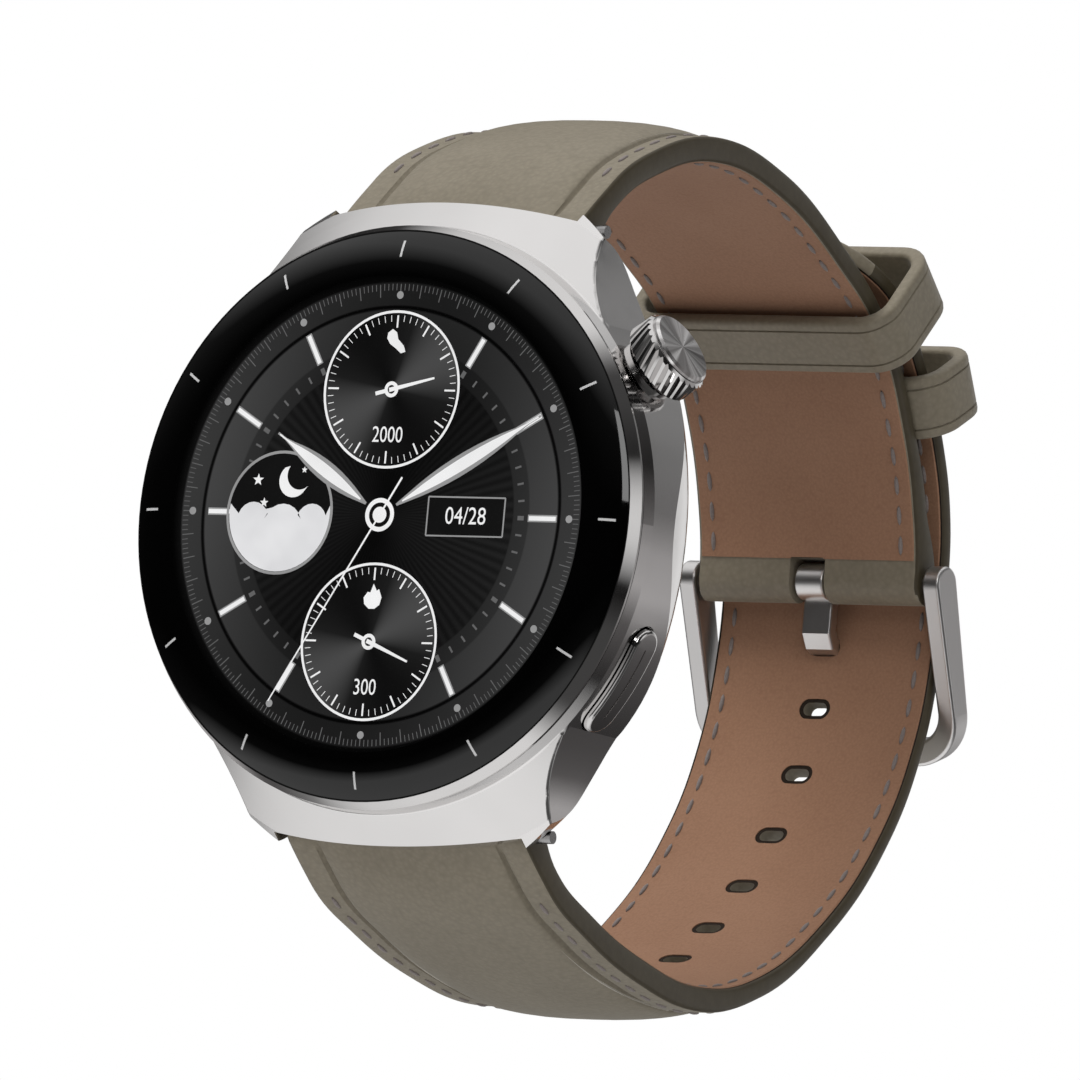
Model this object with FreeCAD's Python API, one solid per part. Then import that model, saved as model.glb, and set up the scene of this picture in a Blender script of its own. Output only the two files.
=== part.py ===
import FreeCAD, Part
import math
import os

# Smartwatch with a round steel case on a closed two-piece leather strap.
# Frame: +Z towards 12 o'clock, +X towards 3 o'clock, and the dial faces -Y.
# Origin: centre of the sensor window's outer face, the part that rests on the wrist.
# All sizes are in millimetres. "Front" is the dial side (low Y), "back" is the wrist side.

# ---- driving dimensions ----
FIT = 0.05                      # radial clearance of a running fit

# front stack, from the glass down
GLASS_FRONT_Y = -12.0
GLASS_FLAT_R = 18.4
GLASS_EDGE_Y = -10.95
GLASS_BACK_Y = -10.4
GLASS_R = 22.0
BEZEL_R = 22.6
BEZEL_BACK_Y = -9.75
BEZEL_LEDGE_R = 21.2
PANEL_R = 21.0
PANEL_BACK_Y = -9.7

# case
CASE_R = 22.75
CASE_FRONT_Y = -9.6
CASE_SHOULDER_Y = -8.4
CASE_BACK_Y = -1.2
CAVITY_R = 20.3
BACK_CURVE = [(20.9, CASE_BACK_Y), (21.75, -1.9), (22.35, -3.2), (22.68, -4.8), (22.9, -6.4)]
PLATE_SLOPE_R = 31.15           # radius of the plate's slope plus its Y
PLATE_EDGE_R = 0.35
BACK_STRETCH = 1.25
LUG_INNER_X = 11.2
LUG_OUTER_X = 13.55
LUG_TIP_Z = 25.2
PLATE_END_Z = 24.9
RECESS_Z = 21.4                 # the case wall behind each strap end
RECESS_Y = -4.2

# crown, on the case's upper right
CROWN_ANGLE = 33.0
CROWN_Y = -5.2
CROWN_R = 3.3
CROWN_END = 26.2                # distance of the end face from the case's axis
CROWN_START = 23.45
CROWN_TRAVEL = 0.35
CROWN_FLUTES = 30
FLUTE_SLANT = 27.0
STEM_R = 0.8
TUBE_R = 1.7
TUBE_FLANGE_R = 2.5
TUBE_SEAT = 22.5
TUBE_END = 23.0

# flat key, on the case's lower right
KEY_ANGLE = -31.0
KEY_Y = -5.7
KEY_LENGTH = 9.2
KEY_WIDTH = 3.0
KEY_FRONT_R = 23.3
KEY_BACK_R = 21.5
KEY_GAP = 0.15
KEY_EDGE_R = 0.3

# back
COVER_R = 19.6
COVER_FRONT_Y = -2.4
WINDOW_R = 14.1
WINDOW_FLAT_R = 8.0
LEDGE_R = 16.6
SCREW_CIRCLE_R = 17.9
SCREW_COUNT = 4

# spring bars between the lugs
BAR_Y = -2.2
BAR_Z = 23.4
BAR_R = 0.9
PIN_R = 0.5
PIN_END_X = 12.4
RELEASE_TRAVEL = 1.5
LEVER_X = -6.0

# strap
STRAP_ROOT_HALF = 10.9
STRAP_HALF = 10.0
TAPER_START_Y = 2.0
TAPER_END_Y = 38.0
FAR_SIDE_Y = 30.0               # the strap beyond this lies on the wrist's far side
LINING = 0.6
SKIN = 0.8
PAD_HALF = 8.4
ROOT_R = 1.55

# Inner face of each strap half, seen from the side as (Y, Z), with the thickness at its
# edges and the extra height of its padded middle at each of those points.
UPPER_PATH = [(1.3, 25.7), (7.3, 29.2), (16.0, 31.4), (26.0, 30.2), (35.7, 26.3),
              (42.7, 21.9), (47.4, 15.4), (50.2, 8.8), (51.2, 4.2)]
UPPER_EDGE = [2.05, 2.05, 2.0, 1.95, 1.7, 1.45, 1.55, 1.9, 2.2]
UPPER_CROWN = [0.9, 1.0, 1.05, 0.9, 0.5, 0.1, 0.06, 0.06, 0.06]
LOWER_PATH = [(1.3, -25.4), (7.3, -28.2), (15.5, -30.5), (24.5, -31.5), (33.5, -29.6),
              (42.5, -24.1), (49.6, -16.4), (53.3, -9.0), (54.7, -2.4), (54.9, 3.7),
              (54.4, 9.0), (52.5, 14.2), (49.4, 19.1), (45.3, 23.8), (41.5, 26.6), (36.8, 29.0)]
LOWER_EDGE = [2.05, 2.05, 2.05, 1.95, 1.6] + [1.3] * 11
LOWER_CROWN = [0.9, 1.0, 1.0, 0.8, 0.35] + [0.06] * 11
PAD_NODES = 4                   # the padding reaches this many points from the lugs

# buckle
PIVOT_Y = 52.8
PIVOT_Z = 3.7
BUCKLE_TILT = 21.0              # how far the frame leans off vertical
BUCKLE_BAR_R = 0.75
WRAP_R = 1.7
FRAME_HALF = 11.9
FRAME_INNER_HALF = 10.35
FRAME_LENGTH = 14.4             # from the pivot to the far edge
FAR_BAR = 2.0
FRAME_END_R = 1.45
FRAME_THICK_FAR = 1.9
FRAME_CORNER = 4.0
FRAME_EDGE_R = 0.28
TONGUE_WIDTH = 2.6
TONGUE_EDGE_R = 0.2
NOTCH_HALF = 1.6

# adjustment holes, as heights along the strap below the engaged one
HOLE_WIDTH = 2.8
HOLE_HEIGHT = 1.7
HOLE_Z = (-6.1, -11.5, -16.6, -21.1, -25.1, -28.1)
ENGAGED_Z = -1.35
ENGAGED_WIDTH = 3.7
ENGAGED_HEIGHT = 2.8

# keepers
KEEPER_HALF = 12.1
KEEPER_WIDTH = 5.0
KEEPER_THICK = 1.2
KEEPER_CORNER = 2.8
FLOATING_Z = 22.0               # height on the lining where each keeper sits
FLOATING_LOW = -1.9             # its inner and outer faces, counted out from the lining
FLOATING_HIGH = 7.9
FIXED_Z = 16.0
FIXED_LOW = 1.7
FIXED_HIGH = 9.4


# ---- shape helpers ----
def vec(x, y, z):
    return FreeCAD.Vector(x, y, z)


ORIGIN = vec(0, 0, 0)
ALONG_X = vec(1, 0, 0)
ALONG_Y = vec(0, 1, 0)
ALONG_Z = vec(0, 0, 1)


def lathe(points):
    """Turn a closed (radius, y) outline round the case's axis."""
    corners = [vec(radius, y, 0) for radius, y in points]
    face = Part.Face(Part.makePolygon(corners + corners[:1]))
    return face.revolve(ORIGIN, ALONG_Y, 360)


def disc(radius, front, back, x=0, z=0):
    return Part.makeCylinder(radius, back - front, vec(x, front, z), ALONG_Y)


def ring(outer, inner, front, back):
    return disc(outer, front, back).cut(disc(inner, front, back))


def rod_x(radius, low, high, y=0, z=0):
    return Part.makeCylinder(radius, high - low, vec(low, y, z), ALONG_X)


def tube_x(outer, inner, low, high):
    return rod_x(outer, low, high).cut(rod_x(inner, low, high))


def block(x_range, y_range, z_range):
    size = [high - low for low, high in (x_range, y_range, z_range)]
    return Part.makeBox(size[0], size[1], size[2], vec(x_range[0], y_range[0], z_range[0]))


def bevelled(shape, radius, chosen):
    """Round the edges that the test picks out."""
    return shape.makeFillet(radius, [edge for edge in shape.Edges if chosen(edge)])


def is_circle(edge):
    return edge.Curve.TypeId == "Part::GeomCircle"


def runs_along(edge, axis):
    return abs(edge.tangentAt(edge.FirstParameter).dot(axis)) > 0.9


def at_clock(shape, angle, y):
    """Turn a shape made along +X to its place round the case."""
    turned = shape.copy()
    turned.rotate(ORIGIN, ALONG_Y, -angle)
    turned.translate(vec(0, y, 0))
    return turned


def side_face(outline):
    """A flat face in the YZ plane from (y, z) corners."""
    corners = [vec(0, y, z) for y, z in outline]
    return Part.Face(Part.makePolygon(corners + corners[:1]))


def extruded(face, half_width):
    solid = face.extrude(vec(2 * half_width, 0, 0))
    solid.translate(vec(-half_width, 0, 0))
    return solid


def spline(points):
    curve = Part.BSplineCurve()
    curve.interpolate([vec(0, y, z) for y, z in points])
    return curve


def raised(points, heights, side):
    """The points moved out from the path by the given heights."""
    curve = spline(points)
    moved = []
    for (y, z), height in zip(points, heights):
        along = curve.tangent(curve.parameter(vec(0, y, z)))[0]
        moved.append((y - side * height * along.z, z + side * height * along.y))
    return moved


def band(inner, outer, half_width):
    """A curved strip between two side-view splines."""
    low = spline(inner).toShape()
    high = spline(outer).toShape()
    start = Part.makeLine(vec(0, *inner[0]), vec(0, *outer[0]))
    end = Part.makeLine(vec(0, *inner[-1]), vec(0, *outer[-1]))
    wire = Part.Wire(Part.__sortEdges__([low, end, high, start]))
    return extruded(Part.Face(wire), half_width)


def fused(shapes):
    return shapes[0].multiFuse(shapes[1:]).removeSplitter()


nodes = {}


def keep(name, shape):
    """Write one sub-part, as a solid or a group of solids."""
    solids = shape.Solids
    assert solids and all(solid.isValid() for solid in solids), name
    whole = solids[0] if len(solids) == 1 else Part.makeCompound(solids)
    nodes[name] = whole
    whole.exportStep("parts/" + name + ".step")


# ---- case ----
def case_outline():
    """The case seen from the front: a circle that runs out into four lugs."""
    leave = math.radians(43)
    run_out = [(CASE_R * math.cos(leave), CASE_R * math.sin(leave)),
               (15.3, 17.8), (14.35, 19.9), (13.85, 21.6), (LUG_OUTER_X, 23.6)]
    round_right = Part.Arc(vec(run_out[0][0], 0, -run_out[0][1]), vec(CASE_R, 0, 0),
                           vec(run_out[0][0], 0, run_out[0][1])).toShape()
    quarter = Part.BSplineCurve()
    quarter.interpolate([vec(x, 0, z) for x, z in run_out])
    upper_side = quarter.toShape()
    tip = Part.makeLine(vec(LUG_OUTER_X, 0, 23.6), vec(LUG_OUTER_X - 0.25, 0, 24.35))
    end = Part.makeLine(vec(LUG_OUTER_X - 0.25, 0, 24.35), vec(LUG_INNER_X, 0, LUG_TIP_Z))
    right = [round_right]
    for edge in (upper_side, tip, end):
        right += [edge, edge.mirror(ORIGIN, ALONG_Z)]
    left = [edge.mirror(ORIGIN, ALONG_X) for edge in right]
    across = [Part.makeLine(vec(-LUG_INNER_X, 0, z), vec(LUG_INNER_X, 0, z))
              for z in (-LUG_TIP_Z, LUG_TIP_Z)]
    wire = Part.Wire(Part.__sortEdges__(right + left + across))
    return Part.Face(wire)


def beyond_back():
    """What lies outside the rounded back edge, whose outline is an oval longer than the case."""
    curve = Part.BSplineCurve()
    curve.interpolate([vec(radius, y, 0) for radius, y in BACK_CURVE])
    inner_end, outer_end = BACK_CURVE[0], BACK_CURVE[-1]
    corners = [vec(outer_end[0], outer_end[1], 0), vec(32, outer_end[1], 0), vec(32, 1, 0), vec(0, 1, 0),
               vec(0, inner_end[1], 0), vec(inner_end[0], inner_end[1], 0)]
    wire = Part.Wire(Part.__sortEdges__([curve.toShape()] + Part.makePolygon(corners).Edges))
    turned = Part.Face(wire).revolve(ORIGIN, ALONG_Y, 360)
    stretch = FreeCAD.Matrix()
    stretch.scale(1, 1, BACK_STRETCH)
    return turned.transformGeometry(stretch)


def round_plate_edge(body):
    """Round the edge between the sloped front plate and the upright sides."""
    def on_plate_edge(edge):
        middle = edge.valueAt((edge.FirstParameter + edge.LastParameter) / 2)
        radius = math.hypot(middle.x, middle.z)
        slope = PLATE_SLOPE_R + middle.y
        return abs(radius - slope) < 0.25 and middle.y > -8.6 and abs(middle.z) < LUG_TIP_Z - 0.4
    chosen = [edge for edge in body.Edges if on_plate_edge(edge)]
    return body.makeFillet(PLATE_EDGE_R, chosen)


def make_case():
    blank = case_outline().extrude(vec(0, CASE_BACK_Y - CASE_FRONT_Y, 0))
    blank.translate(vec(0, CASE_FRONT_Y, 0))
    # the front slopes back from the bezel towards the lugs
    front = lathe([(0, CASE_FRONT_Y), (22.55, CASE_FRONT_Y), (CASE_R, CASE_SHOULDER_Y),
                   (24.9, -6.3), (26.2, -5.0), (27.2, -3.6), (28.6, -2.2), (28.6, 0), (0, 0)])
    body = blank.common(front)
    body = round_plate_edge(body)
    # the back edge is rounded off at the sides and fades out towards the lugs
    body = body.cut(beyond_back())
    # each strap end sits in a recess under the end of the plate
    for side in (-1, 1):
        low, high = sorted((side * RECESS_Z, side * 30))
        body = body.cut(block((-LUG_INNER_X, LUG_INNER_X), (RECESS_Y, 2), (low, high)))
        low, high = sorted((side * PLATE_END_Z, side * 30))
        rim = disc(60, -12, 2, z=side * (PLATE_END_Z - 60))
        beyond = block((-LUG_INNER_X, LUG_INNER_X), (-12, 2), sorted((side * 20, side * 30)))
        body = body.cut(beyond.cut(rim))
    # cavity, open at the front, with a ledge for the back cover
    body = body.cut(disc(CAVITY_R, CASE_FRONT_Y - 1, -3.2))
    body = body.cut(disc(LEDGE_R, -3.3, 1))
    body = body.cut(disc(COVER_R + 0.1, COVER_FRONT_Y, 1))
    for index in range(SCREW_COUNT):
        angle = math.radians(45 + 90 * index)
        body = body.cut(disc(0.55, -3.3, COVER_FRONT_Y, SCREW_CIRCLE_R * math.cos(angle),
                             SCREW_CIRCLE_R * math.sin(angle)))
    # spring bar holes
    for z in (-BAR_Z, BAR_Z):
        body = body.cut(rod_x(PIN_R + FIT, -PIN_END_X - 0.2, -LUG_INNER_X + 1, BAR_Y, z))
        body = body.cut(rod_x(PIN_R + FIT, LUG_INNER_X - 1, PIN_END_X + 0.2, BAR_Y, z))
    # crown tube bore, key pocket and the ports of speaker and microphone
    body = body.cut(at_clock(rod_x(TUBE_R, 19, 24), CROWN_ANGLE, CROWN_Y))
    body = body.cut(at_clock(rod_x(TUBE_FLANGE_R, TUBE_SEAT, 24), CROWN_ANGLE, CROWN_Y))
    pocket = key_prism(KEY_LENGTH + 2 * KEY_GAP, KEY_WIDTH + 2 * KEY_GAP, KEY_BACK_R - 0.4, 25)
    body = body.cut(at_clock(pocket, KEY_ANGLE, KEY_Y))
    body = body.cut(at_clock(rod_x(0.6 + FIT, 19, 22), KEY_ANGLE, KEY_Y))
    for angle in (176, 179.5, 183):
        body = body.cut(at_clock(rod_x(0.35, 19, 24), angle, -4.6))
    body = body.cut(at_clock(rod_x(0.3, 19, 24), 150, -4.6))
    return body.removeSplitter()


def key_prism(length, width, low, high):
    """A pill-shaped bar pointing out along +X, long in Z."""
    half = (length - width) / 2
    middle = block((low, high), (-width / 2, width / 2), (-half, half))
    ends = [rod_x(width / 2, low, high, 0, z) for z in (-half, half)]
    return fused([middle] + ends)


keep("top_case", make_case())

keep("bezel_ring", lathe([(GLASS_R + 0.02, GLASS_EDGE_Y), (GLASS_R + 0.12, GLASS_EDGE_Y),
                          (BEZEL_R, -9.98), (BEZEL_R, BEZEL_BACK_Y),
                          (BEZEL_LEDGE_R, BEZEL_BACK_Y), (BEZEL_LEDGE_R, GLASS_BACK_Y),
                          (GLASS_R + 0.02, GLASS_BACK_Y)]))


def make_glass():
    """Flat in the middle, with a wide edge that curves down to the bezel."""
    edge = Part.Arc(vec(GLASS_FLAT_R, GLASS_FRONT_Y, 0), vec(20.45, -11.68, 0),
                    vec(GLASS_R, GLASS_EDGE_Y, 0)).toShape()
    corners = [vec(GLASS_R, GLASS_EDGE_Y, 0), vec(GLASS_R, GLASS_BACK_Y, 0),
               vec(0, GLASS_BACK_Y, 0), vec(0, GLASS_FRONT_Y, 0),
               vec(GLASS_FLAT_R, GLASS_FRONT_Y, 0)]
    lines = Part.makePolygon(corners).Edges
    wire = Part.Wire(Part.__sortEdges__([edge] + lines))
    return Part.Face(wire).revolve(ORIGIN, ALONG_Y, 360)


keep("cover_glass", make_glass())
keep("display_panel", disc(PANEL_R, GLASS_BACK_Y, PANEL_BACK_Y))
keep("front_gasket", ring(22.3, 21.3, BEZEL_BACK_Y, CASE_FRONT_Y))

# ---- inside the case ----
MOTOR_R = 3.6
MOTOR_X = -6.2
MOTOR_Z = -14.3
SENSOR_R = 1.3
SENSOR_CIRCLE_R = 5.4
inner_frame = fused([disc(19.9, -9.5, -8.9), ring(19.9, 18.6, -9.0, -7.4)])
keep("inner_frame", inner_frame.cut(disc(MOTOR_R + 0.1, -8.8, -7, MOTOR_X, MOTOR_Z)))
keep("battery", bevelled(block((-13, 11), (-8.8, -5.5), (-10, 12)), 2.5,
                         lambda edge: runs_along(edge, ALONG_Y)))
keep("main_board", disc(14.6, -4.9, -4.1))
keep("processor", block((-5.5, 4.5), (-5.4, -4.9), (-4, 6)))
keep("memory_chips", Part.makeCompound([block((x, x + 3.4), (-5.3, -4.9), (-10, -6))
                                        for x in (-7.5, -2.5, 2.5)]))
keep("vibration_motor", disc(MOTOR_R, -8.6, -5.4, MOTOR_X, MOTOR_Z))
keep("speaker", bevelled(block((-19.3, -15.6), (-6.2, -3.7), (-4.2, 4.2)), 0.6,
                         lambda edge: runs_along(edge, ALONG_X)))
keep("microphone", at_clock(block((16.8, 19.4), (-0.7, 0.7), (-1.6, 1.6)), 150, -4.6))
keep("sensor_board", disc(10.4, -3.4, -2.8))
sensors = []
for turn in range(0, 360, 60):
    x = SENSOR_CIRCLE_R * math.cos(math.radians(turn))
    z = SENSOR_CIRCLE_R * math.sin(math.radians(turn))
    sensors.append(disc(SENSOR_R, -2.8, -2.35, x, z))
keep("optical_sensors", Part.makeCompound(sensors))
keep("charging_coil", ring(13.6, 11.2, -3.1, -2.5))

# ---- back ----
cover = ring(COVER_R, WINDOW_R + FIT, COVER_FRONT_Y, CASE_BACK_Y)
screws = []
for index in range(SCREW_COUNT):
    turn = math.radians(45 + 90 * index)
    x = SCREW_CIRCLE_R * math.cos(turn)
    z = SCREW_CIRCLE_R * math.sin(turn)
    cover = cover.cut(disc(0.6, -3, 0, x, z)).cut(disc(1.05, -1.85, 0, x, z))
    screw = fused([disc(0.5, -3.1, -1.85, x, z), disc(1.0, -1.85, -1.3, x, z)])
    slots = [block((x - 0.55, x + 0.55), (-1.6, -1), (z - 0.13, z + 0.13)),
             block((x - 0.13, x + 0.13), (-1.6, -1), (z - 0.55, z + 0.55))]
    screws.append(screw.cut(slots[0]).cut(slots[1]))
keep("back_cover", cover)
keep("back_screws", Part.makeCompound(screws))
keep("sensor_window", lathe([(0, -2.2), (WINDOW_R, -2.2), (WINDOW_R, -1.1), (12.6, -0.5),
                             (10.6, -0.15), (WINDOW_FLAT_R, 0), (0, 0)]))

# ---- crown ----
tube = tube_x(TUBE_R, STEM_R + FIT, 19.6, TUBE_SEAT)
flange = tube_x(TUBE_FLANGE_R, STEM_R + FIT, TUBE_SEAT, TUBE_END)
keep("crown_tube", at_clock(fused([tube, flange]), CROWN_ANGLE, CROWN_Y))


def make_crown_head():
    """A hollow barrel with slanted flutes round it."""
    barrel = rod_x(CROWN_R, CROWN_START, CROWN_END - 0.45)
    barrel = barrel.makeChamfer(0.25, [edge for edge in barrel.Edges if is_circle(edge)])
    barrel = barrel.cut(rod_x(STEM_R, CROWN_START - 1, CROWN_START + 1.3))
    barrel = barrel.cut(tube_x(2.7, 1.5, CROWN_START - 1, CROWN_START + 0.6))
    flute = block((-2.4, 2.4), (-0.16, 0.16), (-0.16, 0.16))
    flute.rotate(ORIGIN, ALONG_X, 45)
    flute.rotate(ORIGIN, ALONG_Z, FLUTE_SLANT)
    flute.translate(vec((CROWN_START + CROWN_END - 0.45) / 2, 0, CROWN_R + 0.02))
    cutters = []
    for index in range(CROWN_FLUTES):
        cutter = flute.copy()
        cutter.rotate(ORIGIN, ALONG_X, index * 360 / CROWN_FLUTES)
        cutters.append(cutter)
    return barrel.cut(Part.makeCompound(cutters))


keep("crown_head", at_clock(make_crown_head(), CROWN_ANGLE, CROWN_Y))
cap = rod_x(CROWN_R - 0.35, CROWN_END - 0.45, CROWN_END)
cap = cap.makeChamfer(0.2, [edge for edge in cap.Edges
                            if is_circle(edge) and edge.CenterOfMass.x > CROWN_END - 0.1])
keep("crown_cap", at_clock(cap, CROWN_ANGLE, CROWN_Y))
stem = fused([rod_x(STEM_R, 17.0, CROWN_START + 1.3), rod_x(1.3, 16.9, 17.3)])
keep("crown_stem", at_clock(stem, CROWN_ANGLE, CROWN_Y))
keep("crown_carrier", at_clock(tube_x(2.0, STEM_R + FIT, 17.4, 19.0), CROWN_ANGLE, CROWN_Y))
keep("crown_switch", at_clock(block((14.9, 16.4), (-0.9, 0.9), (-1.5, 1.5)), CROWN_ANGLE, CROWN_Y))

# ---- side key ----
key = key_prism(KEY_LENGTH, KEY_WIDTH, KEY_BACK_R, 25).common(at_clock(disc(KEY_FRONT_R, -9, 9), 0, 0))
key = bevelled(key, KEY_EDGE_R, lambda edge: edge.CenterOfMass.x > KEY_BACK_R + 1.2
               and not runs_along(edge, ALONG_X))
groove = block((KEY_FRONT_R - 0.5, 25), (-0.09, 0.09), (-3.1, 3.1))
groove = groove.cut(disc(KEY_FRONT_R - 0.12, -9, 9))
keep("side_key", at_clock(key.cut(groove), KEY_ANGLE, KEY_Y))
keep("key_plunger", at_clock(rod_x(0.6, 19.1, KEY_BACK_R), KEY_ANGLE, KEY_Y))
keep("key_switch", at_clock(block((17.2, 18.7), (-0.9, 0.9), (-2, 2)), KEY_ANGLE, KEY_Y))


# ---- spring bars with quick-release pins ----
def make_spring_bar(z):
    bar = rod_x(BAR_R, -10.7, 10.7, BAR_Y, z)
    bar = bar.cut(rod_x(PIN_R + FIT, -11, LEVER_X + 3.2, BAR_Y, z))
    slot_x = (LEVER_X - 0.7, LEVER_X + RELEASE_TRAVEL + 0.7)
    bar = bar.cut(block(slot_x, (BAR_Y, BAR_Y + 2), (z - 0.5, z + 0.5)))
    return fused([bar, rod_x(PIN_R, 10.6, PIN_END_X, BAR_Y, z)])


def make_release_pin(z):
    pin = rod_x(PIN_R, -PIN_END_X, LEVER_X + 1.4, BAR_Y, z)
    lever = block((LEVER_X - 0.4, LEVER_X + 0.4), (BAR_Y, BAR_Y + 2.2), (z - 0.4, z + 0.4))
    knob = disc(0.7, BAR_Y + 1.8, BAR_Y + 2.6, LEVER_X, z)
    return fused([pin, lever, knob])


for hour, z in (("12", BAR_Z), ("6", -BAR_Z)):
    keep("spring_bar_" + hour, make_spring_bar(z))
    keep("release_pin_" + hour, make_release_pin(z))


# ---- strap ----
def taper():
    """The strap seen from 12 o'clock: full width at the lugs, narrower to the buckle."""
    outline = [(STRAP_ROOT_HALF, -6), (STRAP_ROOT_HALF, TAPER_START_Y), (STRAP_HALF, TAPER_END_Y),
               (STRAP_HALF, 70)]
    corners = [vec(x, y, -50) for x, y in outline]
    corners += [vec(-x, y, -50) for x, y in reversed(outline)]
    face = Part.Face(Part.makePolygon(corners + corners[:1]))
    return face.extrude(vec(0, 0, 100))


TAPER = taper()


def strap_layers(path, edge, crown, side):
    """Lining, outer leather and padding of one strap half, before its ends are made."""
    seam = raised(path, [LINING] * len(path), side)
    outer = raised(path, edge, side)
    top = raised(path, [e + c for e, c in zip(edge, crown)], side)
    lining = band(path, seam, STRAP_ROOT_HALF).common(TAPER)
    leather = band(seam, outer, STRAP_ROOT_HALF).common(TAPER)
    middle = band(seam, top, PAD_HALF)
    pad_path = path[:PAD_NODES]
    pad_low = raised(pad_path, [LINING + 0.1] * PAD_NODES, side)
    pad_high = raised(pad_path, [e + c - SKIN for e, c in zip(edge, crown)][:PAD_NODES], side)
    padding = band(pad_low, pad_high, PAD_HALF - SKIN)
    leather = fused([leather, middle])
    return lining.cut(padding), leather.cut(padding), padding


def root_loop(z, path, edge, side):
    """The leather that wraps the spring bar, joined on to the strap's start."""
    loop = rod_x(ROOT_R, -STRAP_ROOT_HALF, STRAP_ROOT_HALF, BAR_Y, z)
    start = path[0]
    outer = raised(path, edge, side)[0]
    neck = side_face([(BAR_Y + 1.05, z - side * 1.1), start, outer, (BAR_Y - 1.05, z + side * 1.1)])
    joined = fused([loop, extruded(neck, STRAP_ROOT_HALF)])
    joined = joined.cut(rod_x(BAR_R + FIT, -12, 12, BAR_Y, z))
    slot = block((LEVER_X - 1.1, LEVER_X + RELEASE_TRAVEL + 1.1), (BAR_Y, 2), (z - 1.2, z + 1.2))
    return joined.cut(slot)


def path_spot(path, z):
    """The point of a path at height z on the wrist's far side, and its direction in degrees."""
    curve = spline(path)
    far_side = [point for point in curve.discretize(2000) if point.y > FAR_SIDE_Y]
    spot = min(far_side, key=lambda point: abs(point.z - z))
    along = curve.tangent(curve.parameter(spot))[0]
    return spot, math.degrees(math.atan2(along.z, along.y))


def strap_hole(path, width, height, z):
    """A cutter for an oval hole square to the strap at height z."""
    spot, direction = path_spot(path, z)
    half = (width - height) / 2
    middle = block((-half, half), (-4, 4), (-height / 2, height / 2))
    ends = [disc(height / 2, -4, 4, x=x) for x in (-half, half)]
    cutter = fused([middle] + ends)
    cutter.rotate(ORIGIN, ALONG_X, direction - 90)
    cutter.translate(spot)
    return cutter


def tail_cut(path):
    """What is cut away to leave a round tip on the strap's tail."""
    end = path[-1]
    before = path[-2]
    angle = math.degrees(math.atan2(end[1] - before[1], end[0] - before[0]))
    corners = block((-12, 12), (-STRAP_HALF, 3), (-6, 6))
    corners = corners.cut(Part.makeCylinder(STRAP_HALF, 14, vec(0, -STRAP_HALF, -7), ALONG_Z))
    corners.rotate(ORIGIN, ALONG_X, angle)
    corners.translate(vec(0, *end))
    return corners


upper_lining, upper_leather, upper_padding = strap_layers(UPPER_PATH, UPPER_EDGE, UPPER_CROWN, 1)
upper_leather = fused([upper_leather, root_loop(BAR_Z, UPPER_PATH, UPPER_EDGE, 1)])
# the leather folds round the buckle's bar, with a notch for the tongue
wrap = rod_x(WRAP_R, -STRAP_HALF, STRAP_HALF, PIVOT_Y, PIVOT_Z)
fold = side_face([(51.2, 4.2), (51.1, 3.7), (54.5, 3.7), (53.35, 4.9)])
upper_leather = fused([upper_leather, wrap, extruded(fold, STRAP_HALF)])
bar_bore = rod_x(BUCKLE_BAR_R + FIT, -12, 12, PIVOT_Y, PIVOT_Z)
notch = block((-NOTCH_HALF, NOTCH_HALF), (50, 56), (0, 5.4))
upper_leather = upper_leather.cut(bar_bore).cut(notch)
upper_lining = upper_lining.cut(bar_bore).cut(notch).cut(rod_x(WRAP_R, -11, 11, PIVOT_Y, PIVOT_Z))
keep("strap_12_lining", upper_lining)
keep("strap_12_leather", upper_leather.cut(upper_lining))
keep("strap_12_padding", upper_padding)

lower_lining, lower_leather, lower_padding = strap_layers(LOWER_PATH, LOWER_EDGE, LOWER_CROWN, -1)
lower_leather = fused([lower_leather, root_loop(-BAR_Z, LOWER_PATH, LOWER_EDGE, -1)])
holes = [strap_hole(LOWER_PATH, HOLE_WIDTH, HOLE_HEIGHT, z) for z in HOLE_Z]
holes.append(strap_hole(LOWER_PATH, ENGAGED_WIDTH, ENGAGED_HEIGHT, ENGAGED_Z))
holes.append(tail_cut(LOWER_PATH))
for cutter in holes:
    lower_lining = lower_lining.cut(cutter)
    lower_leather = lower_leather.cut(cutter)
keep("strap_6_lining", lower_lining)
keep("strap_6_leather", lower_leather.cut(lower_lining))
keep("strap_6_padding", lower_padding)


# ---- keepers ----
def make_keeper(z, low, high):
    """A closed leather band round the strap, square to the strap's run."""
    spot, direction = path_spot(UPPER_PATH, z)
    corner = KEEPER_CORNER
    half = KEEPER_WIDTH / 2
    outside = block((-KEEPER_HALF, KEEPER_HALF), (-half, half), (low, high))
    outside = bevelled(outside, corner, lambda edge: runs_along(edge, ALONG_Y))
    inside = block((-KEEPER_HALF + KEEPER_THICK, KEEPER_HALF - KEEPER_THICK), (-half - 1, half + 1),
                   (low + KEEPER_THICK, high - KEEPER_THICK))
    inside = bevelled(inside, corner - KEEPER_THICK, lambda edge: runs_along(edge, ALONG_Y))
    keeper = outside.cut(inside)
    keeper.rotate(ORIGIN, ALONG_X, direction)
    keeper.translate(spot)
    return keeper


keep("floating_keeper", make_keeper(FLOATING_Z, FLOATING_LOW, FLOATING_HIGH))
keep("fixed_keeper", make_keeper(FIXED_Z, FIXED_LOW, FIXED_HIGH).cut(upper_leather))


# ---- buckle ----
def in_buckle(shape):
    """Move a shape made with its pivot at the origin, hanging down -Z, to its place."""
    moved = shape.copy()
    moved.rotate(ORIGIN, ALONG_X, BUCKLE_TILT)
    moved.translate(vec(0, PIVOT_Y, PIVOT_Z))
    return moved


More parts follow.
